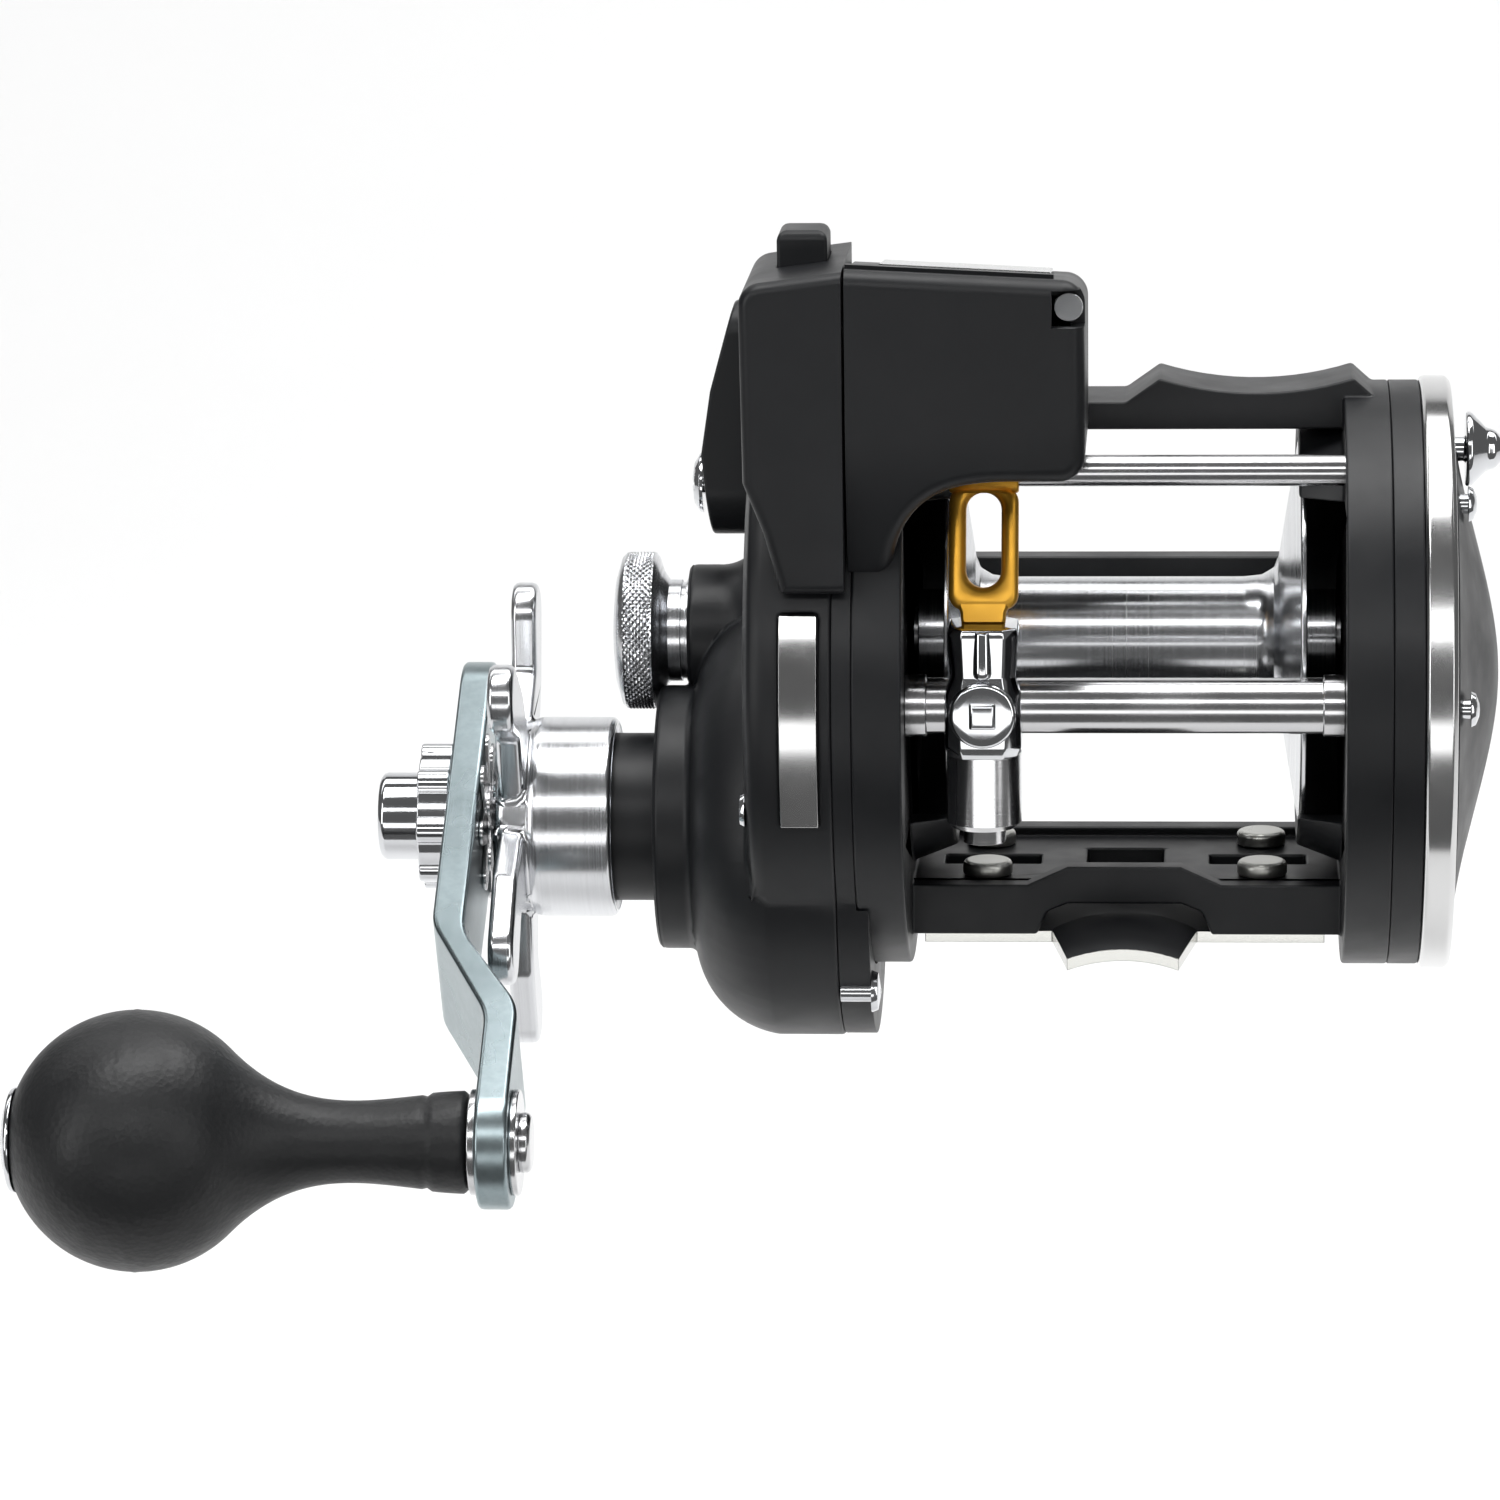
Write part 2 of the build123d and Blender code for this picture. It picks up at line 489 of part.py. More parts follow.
# ---- gear side plate: a hollow housing of three turned shapes ----
# each profile's open side is the arc that rounds the shape's shoulder
GEARBOX = [(-53.2, 17.2), (-53.8, 16.5), (-57.6, 16.5), (-58, 16.1), (-58, 10.5), (-64.5, 10.5), (-64.5, 0),
           (PLATE_X, 0), (PLATE_X, GEARBOX_R), (-43, GEARBOX_R)]
GEARBOX_INSIDE = [(-51, 18), (-51, 0), (PLATE_X + 1, 0), (PLATE_X + 1, 25.4), (-43.2, 25.4)]
BRAKE_BOSS = [(-51, 8.3), (-54.1, 8.3), (-54.5, 7.9), (-54.5, 0), (PLATE_X, 0), (PLATE_X, 12.2), (-45.5, 12.2)]
with BuildPart() as gear_side_plate:
    turned([(PLATE_X, 0), (PLATE_X, RING_R), (-43, RING_R), (-44.8, 35.2), (CIRCLE_X, 33), (CIRCLE_X, 0)],
           RING_CENTRE)
    turned(GEARBOX, DRIVE_AXIS, curve=(-50.0, 23.6))
    turned(BRAKE_BOSS, SPOOL_AXIS, curve=(-47.2, 9.5))
    rod(PLATE_X + 1, CIRCLE_X + WALL, RING_R - 2, RING_CENTRE, mode=Mode.SUBTRACT)
    turned(GEARBOX_INSIDE, DRIVE_AXIS, mode=Mode.SUBTRACT, curve=(-48.5, 22.6))
    rod(PLATE_X + 1, -52.6, 6.4, SPOOL_AXIS, mode=Mode.SUBTRACT)
    rod(-60, -50, 2.6, SPOOL_AXIS, mode=Mode.SUBTRACT)
    # shaft hole and bearing seat in the collar
    rod(-65, -50, 5.2, DRIVE_AXIS, mode=Mode.SUBTRACT)
    rod(-65, -60.4, DRIVE_BEARING_R, DRIVE_AXIS, mode=Mode.SUBTRACT)
    rod(-48, -42, 2.6, LEVER_AXIS, mode=Mode.SUBTRACT)
    # way through the rim for the counter's gears
    block((-38.8, PLATE_X + 1), (-36.5, -17), (44, 72), mode=Mode.SUBTRACT)
    # seat of the bright trim
    with BuildSketch(Plane.YZ.offset(-41)) as seat:
        with Locations(RING_CENTRE):
            Circle(RING_R + 1)
            Circle(RING_R - 0.9, mode=Mode.SUBTRACT)
        with Locations((RING_CENTRE[0] - 35, 34)):
            Rectangle(26, 26, mode=Mode.INTERSECT)
    extrude(seat.sketch, amount=4.7, mode=Mode.SUBTRACT)
write(gear_side_plate, "gear_side_plate")

with BuildPart() as gear_side_trim:
    with BuildSketch(Plane.YZ.offset(-40.9)) as arc:
        with Locations(RING_CENTRE):
            Circle(RING_R + 0.7)
            Circle(RING_R - 0.85, mode=Mode.SUBTRACT)
        with Locations((RING_CENTRE[0] - 35, 34)):
            Rectangle(26, 25.8, mode=Mode.INTERSECT)
    extrude(arc.sketch, amount=4.5)
    # its upper corner is cut off at a slant
    plate_y([(-36, 44.2), (-39.6, 46.2), (-39.6, 48), (-36, 48)], -40, -20, mode=Mode.SUBTRACT)
write(gear_side_trim, "gear_side_trim")

with BuildPart() as gear_backing_plate:
    rod(PLATE_X, LEFT_OUT, RING_R - 0.3, RING_CENTRE)
    rod(PLATE_X, -30.8, GEARBOX_R - 0.2, DRIVE_AXIS)
    rod(LEFT_OUT, -30, RING_R + 0.2, RING_CENTRE, mode=Mode.SUBTRACT)
    rod(PLATE_X, -29.2, BEARING_R + 2, SPOOL_AXIS)
    rod(-33.2, -29, BEARING_R, SPOOL_AXIS, mode=Mode.SUBTRACT)
    rod(-36, -29, SHAFT_R + 0.4, SPOOL_AXIS, mode=Mode.SUBTRACT)
    rod(-36, -30, 1.6 + 0.3, WORM_AXIS, mode=Mode.SUBTRACT)
    rod(-36, -33.2, 4.0 + FIT, DRIVE_AXIS, mode=Mode.SUBTRACT)
    rod(-36, -30, 1.3, LOBE_SCREW, mode=Mode.SUBTRACT)
write(gear_backing_plate, "gear_backing_plate")

with BuildPart() as case_screws:
    for angle in COVER_SCREW_ANGLES:
        spot = along(RING_CENTRE, radians(angle), COVER_SCREW_R)
        turned([(36.3, 0), (36.3, 1.2), (41.8, 1.2), (41.8, 2.2), (42.4, 1.9), (42.8, 0.9), (42.9, 0)], spot)
        block((42.4, 43.5), (spot[0] - 0.25, spot[0] + 0.25), (spot[1] - 3, spot[1] + 3), mode=Mode.SUBTRACT)
    # one in the lower lobe with its head inboard, two with their heads on the housing
    turned([(-34.6, 0), (-34.6, 1.3), (-30.8, 1.3), (-30.8, 2.6), (-30.0, 2.3), (-29.6, 0)], LOBE_SCREW)
    for spot in PLATE_SCREWS:
        turned([(CIRCLE_X, 0), (CIRCLE_X, 2.2), (-46.1, 1.9), (-46.4, 0)], spot)
    # one in the front corner of the counter
    with BuildSketch(Plane.XZ.offset(37)) as head:
        with Locations(COUNTER_SCREW):
            Circle(1.7)
    extrude(head.sketch, amount=1.6)
write(case_screws, "case_screws")

# ---- gear case contents ----
pinion_phase = 0.0
drive_phase = next_phase(SPOOL_AXIS, pinion_phase, PINION_TEETH, DRIVE_AXIS, DRIVE_TEETH)
with BuildPart() as pinion:
    gear(PINION_TEETH, DRIVE_MODULE, -46, -41.6, SPOOL_AXIS, 0, pinion_phase)
    rod(-41.6, -40.2, 2.9, SPOOL_AXIS)
    rod(-40.2, -38.2, 5.2, SPOOL_AXIS)
    block((-39.3, -38), (-6, 6), (35.3, 38.7), mode=Mode.SUBTRACT)
    rod(-47, -37, SLIM_SHAFT_R + FIT, SPOOL_AXIS, mode=Mode.SUBTRACT)
write(pinion, "pinion")

with BuildPart() as yoke:
    plate_x([(-6, 35.6), (6, 35.6), (6, 42), (10, 43.5), (10, 48.5), (-10, 48.5), (-10, 43.5), (-6, 42)],
            -41.5, -40.3)
    rod(-42, -40, 2.9 + FIT, SPOOL_AXIS, mode=Mode.SUBTRACT)
    block((-42, -40), (-2.95, 2.95), (35, 37), mode=Mode.SUBTRACT)
    for post in YOKE_POSTS:
        rod(-42, -40, 1.1 + FIT, post, mode=Mode.SUBTRACT)
write(yoke, "yoke")

with BuildPart() as drive_shaft:
    turned([(-90.6, 0), (-90.6, 2.7), (-84, 2.7), (-84, 3.0), (-74, 3.0), (-74, 3.5), (-42.6, 3.5),
            (-42.6, 4.0), (-33.3, 4.0), (-33.3, 0)], DRIVE_AXIS)
    rod(-42.6, -41.6, 7.5, DRIVE_AXIS)
write(drive_shaft, "drive_shaft")

with BuildPart() as main_gear:
    gear(DRIVE_TEETH, DRIVE_MODULE, -46.6, -42.6, DRIVE_AXIS, 3.5, drive_phase)
    rod(-47, -44.8, 15.5, DRIVE_AXIS, mode=Mode.SUBTRACT)
write(main_gear, "main_gear")

for name, first in (("drag_fibre_washers", -45.5), ("drag_steel_washers", -46.2)):
    with BuildPart() as washers:
        for layer in range(3):
            x = first - layer * 1.4
            rod(x, x + 0.7, 14.5, DRIVE_AXIS)
            rod(x - 1, x + 2, 3.5, DRIVE_AXIS, mode=Mode.SUBTRACT)
    write(washers, name)

with BuildPart() as ratchet:
    with BuildSketch(Plane.YZ.offset(-40.4)) as teeth:
        with BuildLine():
            points = []
            for tooth in range(12):
                angle = tooth * pi / 6
                points.append(along(DRIVE_AXIS, angle, 9.0))
                points.append(along(DRIVE_AXIS, angle + 0.42, 7.0))
            Polyline(*points, close=True)
        make_face()
    extrude(teeth.sketch, amount=1.8)
    rod(-41, -38, 4.0, DRIVE_AXIS, mode=Mode.SUBTRACT)
write(ratchet, "ratchet")

DOG_TIP = along(DRIVE_AXIS, radians(22), 9.25)
with BuildPart() as anti_reverse_dog:
    # hooked lever whose nose stands just clear of the ratchet
    rod(-40.3, -38.7, 2.4, DOG_AXIS)
    plate_x([along(DOG_AXIS, radians(60), 2.3), along(DOG_TIP, radians(22), 3.2), along(DOG_TIP, radians(112), 0.8),
             DOG_TIP, along(DOG_TIP, radians(-60), 1.2), along(DOG_AXIS, radians(200), 2.3)], -40.3, -38.7)
    rod(-42, -38, 1.2 + FIT, DOG_AXIS, mode=Mode.SUBTRACT)
write(anti_reverse_dog, "anti_reverse_dog")

# ---- free-spool lever ----
with BuildPart() as freespool_lever:
    stadium(LEVER_X, -45.6, LEVER_AXIS, (0.5, 74.6), 6.4, 4.2)
    # the outer face slopes in towards the thumb pad
    plate_y([(LEVER_X - 1, 45), (-51.0, 45), (LEVER_X, 60), (-51.4, 68), (-48.8, 77.5), (-48, 80),
             (LEVER_X - 1, 80)], -20, 20, mode=Mode.SUBTRACT)
    rod(-47, -43.8, 2.5, LEVER_AXIS)
    rod(LEVER_X - 1, -49, 1.4, LEVER_AXIS, mode=Mode.SUBTRACT)
write(freespool_lever, "freespool_lever")

with BuildPart() as lever_screw:
    turned([(-49, 0), (-49, 1.4), (LEVER_X - 0.05, 1.4), (LEVER_X - 0.05, 3.8), (LEVER_X - 0.5, 3.7),
            (LEVER_X - 1.2, 2.6), (LEVER_X - 1.6, 0)], LEVER_AXIS)
    block((LEVER_X - 2, LEVER_X - 1.1), (-6, 6), (LEVER_AXIS[1] - 0.4, LEVER_AXIS[1] + 0.4), mode=Mode.SUBTRACT)
write(lever_screw, "lever_screw")

with BuildPart() as lever_cam:
    stadium(-43.8, -42.6, LEVER_AXIS, (LEVER_AXIS[0], 52.6), 3.6, 2.2)
write(lever_cam, "lever_cam")

# ---- cast control ----
with BuildPart() as brake_knob:
    turned([(-54.6, 2.6), (-54.6, 6.5), (-57.3, 6.5), (-58.1, 7.2), (-58.3, 9.4), (-58.8, 9.8), (-62.4, 9.8),
            (-62.8, 9.4), (-63.6, 7), (-64, 3.5), (-64.1, 0), (-57, 0), (-57, 2.6)], SPOOL_AXIS)
    rod(-58, -52.9, 2.5, SPOOL_AXIS)
    with BuildSketch(Plane.YZ.offset(-62.4)) as grooves:
        with Locations(SPOOL_AXIS):
            with PolarLocations(9.95, 48):
                Circle(0.35)
    extrude(grooves.sketch, amount=3.6, mode=Mode.SUBTRACT)
write(brake_knob, "brake_knob")

# ---- star drag, handle and knob ----
STAR_R = 30.5
STAR_TURN = radians(59)  # first spoke
with BuildPart() as star_drag_wheel:
    turned([(-63.4, 11.2), (-63.4, 12.5), (-73.4, 12.5), (-74, 12), (-78, 11), (-78, 3.6), (-73, 3.6),
            (-72, 11.2)], DRIVE_AXIS)
    for spoke in range(5):
        # each spoke curves backwards and ends in a rounded paddle
        turn = STAR_TURN + spoke * 2 * pi / 5
        near = along(DRIVE_AXIS, turn, 9.5)
        elbow = along(DRIVE_AXIS, turn - 0.1, 19)
        tip = along(DRIVE_AXIS, turn + 0.05, STAR_R - 4.2)
        stadium(-77.4, -74.2, near, elbow, 5.2, 3.4)
        stadium(-77.4, -74.2, elbow, tip, 3.4, 4.2)
    rod(-79, -73, 3.6, DRIVE_AXIS, mode=Mode.SUBTRACT)
write(star_drag_wheel, "star_drag_wheel")

with BuildPart() as drag_spring_washers:
    rod(-79.9, -79.5, 6.0, DRIVE_AXIS)
    rod(-79.0, -78.6, 6.0, DRIVE_AXIS)
    for petal in range(8):
        turn = petal * pi / 4
        stadium(-79.9, -79.5, along(DRIVE_AXIS, turn, 4.5), along(DRIVE_AXIS, turn, 9), 2.4, 1.6)
        stadium(-79.0, -78.6, along(DRIVE_AXIS, turn + 0.39, 4.5), along(DRIVE_AXIS, turn + 0.39, 9), 2.4, 1.6)
    rod(-79.9, -78.2, 4.4, DRIVE_AXIS)
    rod(-81, -78, 3.0, DRIVE_AXIS, mode=Mode.SUBTRACT)
write(drag_spring_washers, "drag_spring_washers")

arm_line = direction(DRIVE_AXIS, KNOB_AXIS)
with BuildPart() as handle_arm:
    stadium(-84.2, -71.8, along(DRIVE_AXIS, arm_line, -14.7), KNOB_AXIS, 9.6, 8.0)
    # side profile with the two bends that bring the knob end inboard
    side_plane = Plane(origin=(0, *DRIVE_AXIS), x_dir=(1, 0, 0), z_dir=(0, -sin(arm_line), cos(arm_line)))
    with BuildSketch(side_plane) as profile:
        with BuildLine():
            outline = [(-84, 28), (-84, -31), (-84 + ARM_T, -31), (-84 + ARM_T, 29.4)]
            outline += [(-76.4 + ARM_T, 41.6), (-76.4 + ARM_T, 70), (-76.4, 70), (-76.4, 43)]
            Polyline(*outline, close=True)
        make_face()
        fillet([corner for corner in profile.vertices() if 20 < corner.Y < 50], radius=ARM_BEND_R)
    extrude(profile.sketch, amount=15, both=True, mode=Mode.INTERSECT)
    rod(-85, -79, 3.0, DRIVE_AXIS, mode=Mode.SUBTRACT)
    rod(-77, -70, 3.0, KNOB_AXIS, mode=Mode.SUBTRACT)
write(handle_arm, "handle_arm")

with BuildPart() as handle_nut:
    with BuildSketch(Plane.YZ.offset(-88)) as lobes:
        with Locations(DRIVE_AXIS):
            Circle(8.4)
            with PolarLocations(7.6, 8):
                Circle(1.7)
    extrude(lobes.sketch, amount=4)
    rod(-89, -83, 2.7, DRIVE_AXIS, mode=Mode.SUBTRACT)
write(handle_nut, "handle_nut")

with BuildPart() as nut_cap:
    turned([(-88, 0), (-88, 5.5), (-92.7, 5.5), (-93.3, 4.9), (-93.4, 0)], DRIVE_AXIS)
    rod(-90.7, -87, 2.7, DRIVE_AXIS, mode=Mode.SUBTRACT)
write(nut_cap, "nut_cap")

with BuildPart() as knob_pin:
    turned([(-128, 0), (-128, 2.6), (-76.5, 2.6), (-76.5, 3.0), (-71.5, 3.0), (-71.5, 3.6), (-70.5, 3.6),
            (-70.1, 3.1), (-70.1, 0)], KNOB_AXIS)
write(knob_pin, "knob_pin")

with BuildPart() as knob_washers:
    for x_from, x_to in ((-72.4, -71.5), (-77.4, -76.4)):
        rod(x_from, x_to, 6.35, KNOB_AXIS)
        rod(x_from - 1, x_to + 1, 3.0, KNOB_AXIS, mode=Mode.SUBTRACT)
write(knob_washers, "knob_washers")

GRIP_END, BALL_X = -77.6, -117.6
with BuildPart() as knob_grip:
    with BuildSketch(Plane(origin=(0, *KNOB_AXIS), x_dir=(1, 0, 0), z_dir=(0, -1, 0))) as grip:
        with BuildLine():
            Line((GRIP_END, 0), (GRIP_END, 6.0))
            Spline((GRIP_END, 6.0), (-86, 6.7), (-96, 8.2), (BALL_X + 11.1, 11.1), tangents=[(-1, 0), (-1, 1)])
            ThreePointArc((BALL_X + 11.1, 11.1), (BALL_X, KNOB_R), (BALL_X - 14.6, 5.8))
            Line((BALL_X - 14.6, 5.8), (BALL_X - 14.6, 0))
            Line((BALL_X - 14.6, 0), (GRIP_END, 0))
        make_face()
    revolve(grip.sketch, axis=Axis((0, *KNOB_AXIS), (1, 0, 0)))
    rod(-128.2, -77, 2.6 + FIT, KNOB_AXIS, mode=Mode.SUBTRACT)
write(knob_grip, "knob_grip")

with BuildPart() as knob_end_cap:
    cap_x = BALL_X - 14.6
    turned([(cap_x, 0), (cap_x, 6.4), (cap_x - 0.6, 6.2), (cap_x - 1.2, 4.4), (cap_x - 1.5, 0)], KNOB_AXIS)
write(knob_end_cap, "knob_end_cap")

# ---- line counter ----
COUNTER_X = (-32.7, -4.3)
SLOPED_TOP = [(COUNTER_X[1], COUNTER_TOP), (COUNTER_X[0], COUNTER_TOP + COUNTER_RISE)]


def counter_top(x, y):
    """Height of the counter's top at one point."""
    along_top = (COUNTER_X[1] - x) / (COUNTER_X[1] - COUNTER_X[0])
    return COUNTER_TOP + COUNTER_RISE * along_top - COUNTER_FALL * (y - COUNTER_FRONT)


def top_plate(x, y, low, high, mode=Mode.ADD):
    """Plate between two heights above the counter's top."""
    corners = []
    for end, height in ((x[0], low), (x[1], low), (x[1], high), (x[0], high)):
        corners.append((end, counter_top(end, y[0]) + height))
    sloping_plate(corners, *y, mode=mode)


with BuildPart() as counter_housing:
    # front panel, whose lower edge sweeps up from the worm to the thumb bar
    with BuildSketch(Plane.XZ.offset(-COUNTER_FRONT)) as panel:
        with BuildLine():
            Polyline((COUNTER_X[1], 66.0), *SLOPED_TOP, (COUNTER_X[0], 49.8), (-27.5, 50.2))
            Spline((-27.5, 50.2), (-23.5, 60.3), (-12.7, 62.9), tangents=[(0, 1), (1, 0)])
            Line((-12.7, 62.9), (-7.4, 62.9))
            ThreePointArc((-7.4, 62.9), (-5.2, 63.8), (COUNTER_X[1], 66.0))
        make_face()
    extrude(panel.sketch, amount=COUNTER_FRONT - PANEL_BACK)
    plate_y([(COUNTER_X[0], 66.0), (COUNTER_X[1], 66.0), *SLOPED_TOP], -36, COUNTER_BACK)
    # the front face leans back below its crease
    with BuildSketch(Plane.YZ.offset(-34)) as lean:
        with BuildLine():
            ThreePointArc((COUNTER_FRONT, 69.5), (-39.4, 59), (-36, 49))
            Polyline((-36, 49), (COUNTER_FRONT - 1, 49), (COUNTER_FRONT - 1, 69.5), (COUNTER_FRONT, 69.5))
        make_face()
    extrude(lean.sketch, amount=32, mode=Mode.SUBTRACT)
    top_plate((-34, -3), (COUNTER_FRONT - 1, COUNTER_BACK + 1), 0, 6, mode=Mode.SUBTRACT)
    corner = counter_housing.edges().filter_by(lambda edge: edge.center().X > COUNTER_X[1] - 0.01)
    fillet(corner.sort_by(Axis.Z)[-1], COUNTER_CORNER_R)
    front = counter_housing.faces().sort_by(Axis.Y)[0]
    outline = front.edges().filter_by(lambda edge: edge.center().X > COUNTER_X[0] + 0.1)
    fillet(outline.filter_by(lambda edge: edge.center().Z > 69.6), COUNTER_EDGE_R)
    top_plate((COUNTER_X[0], -8), (-37.6, -34.2), -1, 0.5)
    rod(LEFT_OUT - 0.5, LEFT_IN + 0.2, RING_R + 0.1, RING_CENTRE, mode=Mode.SUBTRACT)
    inside_front, inside_back = COUNTER_FRONT + 2, COUNTER_BACK - 1.8
    roof = [(y, counter_top(COUNTER_X[1], y) - 1.8) for y in (inside_back, inside_front)]
    plate_x([(inside_front, 70.6), (inside_back, 70.6), *roof], -31.1, -6, mode=Mode.SUBTRACT)
    rod(-31.1, -6, WHEEL_R + 0.6, COUNTER_AXIS, mode=Mode.SUBTRACT)
    rod(-34, -31, 1.5 + FIT, COUNTER_AXIS, mode=Mode.SUBTRACT)
    rod(-7, -5.4, 1.5 + FIT, COUNTER_AXIS, mode=Mode.SUBTRACT)
    # window in the top and the screw's notch in the front corner
    top_plate((-29, -8.4), (-33, -19), -4, 2, mode=Mode.SUBTRACT)
    block((-8.2, -3), (-42, -37), (81.6, 86), mode=Mode.SUBTRACT)
write(counter_housing, "counter_housing")

with BuildPart() as counter_window:
    top_plate((-28.95, -8.45), (-32.95, -19.05), -1.7, 0.6)
write(counter_window, "counter_window")

with BuildPart() as counter_gear_cover:
    plate_y([(-33.0, 49.6), (-40.6, 49.6), (-42.6, 57), (-45.0, 63), (-45.3, 86.7), (-33.0, COUNTER_TOP + 1.1)],
            COUNTER_FRONT - 0.3, -15)
    corner = counter_gear_cover.edges().filter_by(Axis.Y).sort_by(Axis.Z)[-2]
    fillet(corner, COUNTER_CORNER_R)
    front = counter_gear_cover.faces().sort_by(Axis.Y)[0]
    fillet(front.edges().filter_by(lambda edge: edge.center().X < -33.1), COUNTER_EDGE_R - 0.6)
    rod(-47, -32, RING_R + 0.1, RING_CENTRE, mode=Mode.SUBTRACT)
    block((-43.4, -34.2), (COUNTER_FRONT + 1.6, -16.3), (60, COUNTER_TOP - 1.6), mode=Mode.SUBTRACT)
    block((-39.4, -34.2), (COUNTER_FRONT + 2.5, -17), (52, 62), mode=Mode.SUBTRACT)
    rod(-35, -32, 1.5 + FIT, COUNTER_AXIS, mode=Mode.SUBTRACT)
    block((-41.35, -35.15), (-29.15, -20.85), (COUNTER_TOP - 3, COUNTER_TOP + 2), mode=Mode.SUBTRACT)
write(counter_gear_cover, "counter_gear_cover")

with BuildPart() as reset_button:
    block((-41.3, -35.2), (-29.1, -20.9), (COUNTER_TOP - 1.4, 91.6))
    chamfer(reset_button.faces().sort_by(Axis.Z)[-1].edges(), 0.7)
write(reset_button, "reset_button")

with BuildPart() as counter_shaft:
    rod(-37.2, -5.6, 1.5, COUNTER_AXIS)
write(counter_shaft, "counter_shaft")

WHEELS = (("units_wheel", -15.2, 0), ("tens_wheel", -22.0, FIT), ("hundreds_wheel", -28.8, FIT))
for name, x_from, play in WHEELS:
    with BuildPart() as wheel:
        rod(x_from, x_from + 6.2, WHEEL_R, COUNTER_AXIS)
        rod(x_from - 1, x_from + 8, 1.5 + play, COUNTER_AXIS, mode=Mode.SUBTRACT)
    write(wheel, name)
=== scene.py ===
import json
import math

import bmesh
import bpy
from mathutils import Matrix, Vector


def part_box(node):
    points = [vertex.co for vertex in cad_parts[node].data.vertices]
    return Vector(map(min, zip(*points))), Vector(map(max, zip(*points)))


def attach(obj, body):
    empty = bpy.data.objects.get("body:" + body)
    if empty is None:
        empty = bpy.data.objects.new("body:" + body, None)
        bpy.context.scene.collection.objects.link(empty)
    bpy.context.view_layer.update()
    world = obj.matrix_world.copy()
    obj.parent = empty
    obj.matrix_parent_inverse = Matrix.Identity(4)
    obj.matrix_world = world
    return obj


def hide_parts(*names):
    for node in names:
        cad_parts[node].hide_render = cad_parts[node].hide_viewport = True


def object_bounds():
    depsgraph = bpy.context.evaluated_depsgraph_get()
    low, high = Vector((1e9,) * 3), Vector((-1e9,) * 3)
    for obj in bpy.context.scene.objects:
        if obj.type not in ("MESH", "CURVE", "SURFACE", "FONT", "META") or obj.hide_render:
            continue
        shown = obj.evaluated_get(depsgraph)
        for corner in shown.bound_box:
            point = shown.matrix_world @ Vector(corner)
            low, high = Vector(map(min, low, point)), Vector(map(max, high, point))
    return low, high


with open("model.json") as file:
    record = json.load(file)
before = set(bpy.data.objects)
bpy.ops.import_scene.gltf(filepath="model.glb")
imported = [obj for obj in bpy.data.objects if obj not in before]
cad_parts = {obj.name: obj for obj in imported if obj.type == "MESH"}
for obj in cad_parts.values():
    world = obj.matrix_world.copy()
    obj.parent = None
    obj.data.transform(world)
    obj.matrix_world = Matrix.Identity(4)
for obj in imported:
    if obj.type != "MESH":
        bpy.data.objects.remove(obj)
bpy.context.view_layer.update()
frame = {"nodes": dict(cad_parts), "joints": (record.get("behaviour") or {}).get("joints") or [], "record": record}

MM = 0.001
RECORD = frame["record"]
SLOT_OF = {entry["node"]: entry["material_slot"] for entry in RECORD["subparts"]}
BODY_OF = {node: body for body, nodes in RECORD["behaviour"]["bodies"].items() for node in nodes}
JOINT = {joint["name"]: joint for joint in frame["joints"]}


# ---------------------------------------------------------------- camera
def make_camera():
    """A long lens in front of the reel, a little above it."""
    place = Vector((9.1, -823.1, 204.5)) * MM
    yaw, pitch, roll = (math.radians(angle) for angle in (-3.918, 12.5, -0.781))
    forward = Vector((math.sin(yaw) * math.cos(pitch), math.cos(yaw) * math.cos(pitch), -math.sin(pitch)))
    right = Vector((math.cos(yaw), -math.sin(yaw), 0))
    up = right.cross(forward)
    across = right * math.cos(roll) + up * math.sin(roll)
    above = up * math.cos(roll) - right * math.sin(roll)
    data = bpy.data.cameras.new("camera")
    data.sensor_width = 36
    data.lens = 160.8
    camera = bpy.data.objects.new("camera", data)
    turn = Matrix((across, above, -forward)).transposed()
    camera.matrix_world = Matrix.Translation(place) @ turn.to_4x4()
    bpy.context.scene.collection.objects.link(camera)
    bpy.context.scene.camera = camera


make_camera()


# ---------------------------------------------------------------- materials
BLACK = (0.0062, 0.0068, 0.0082)


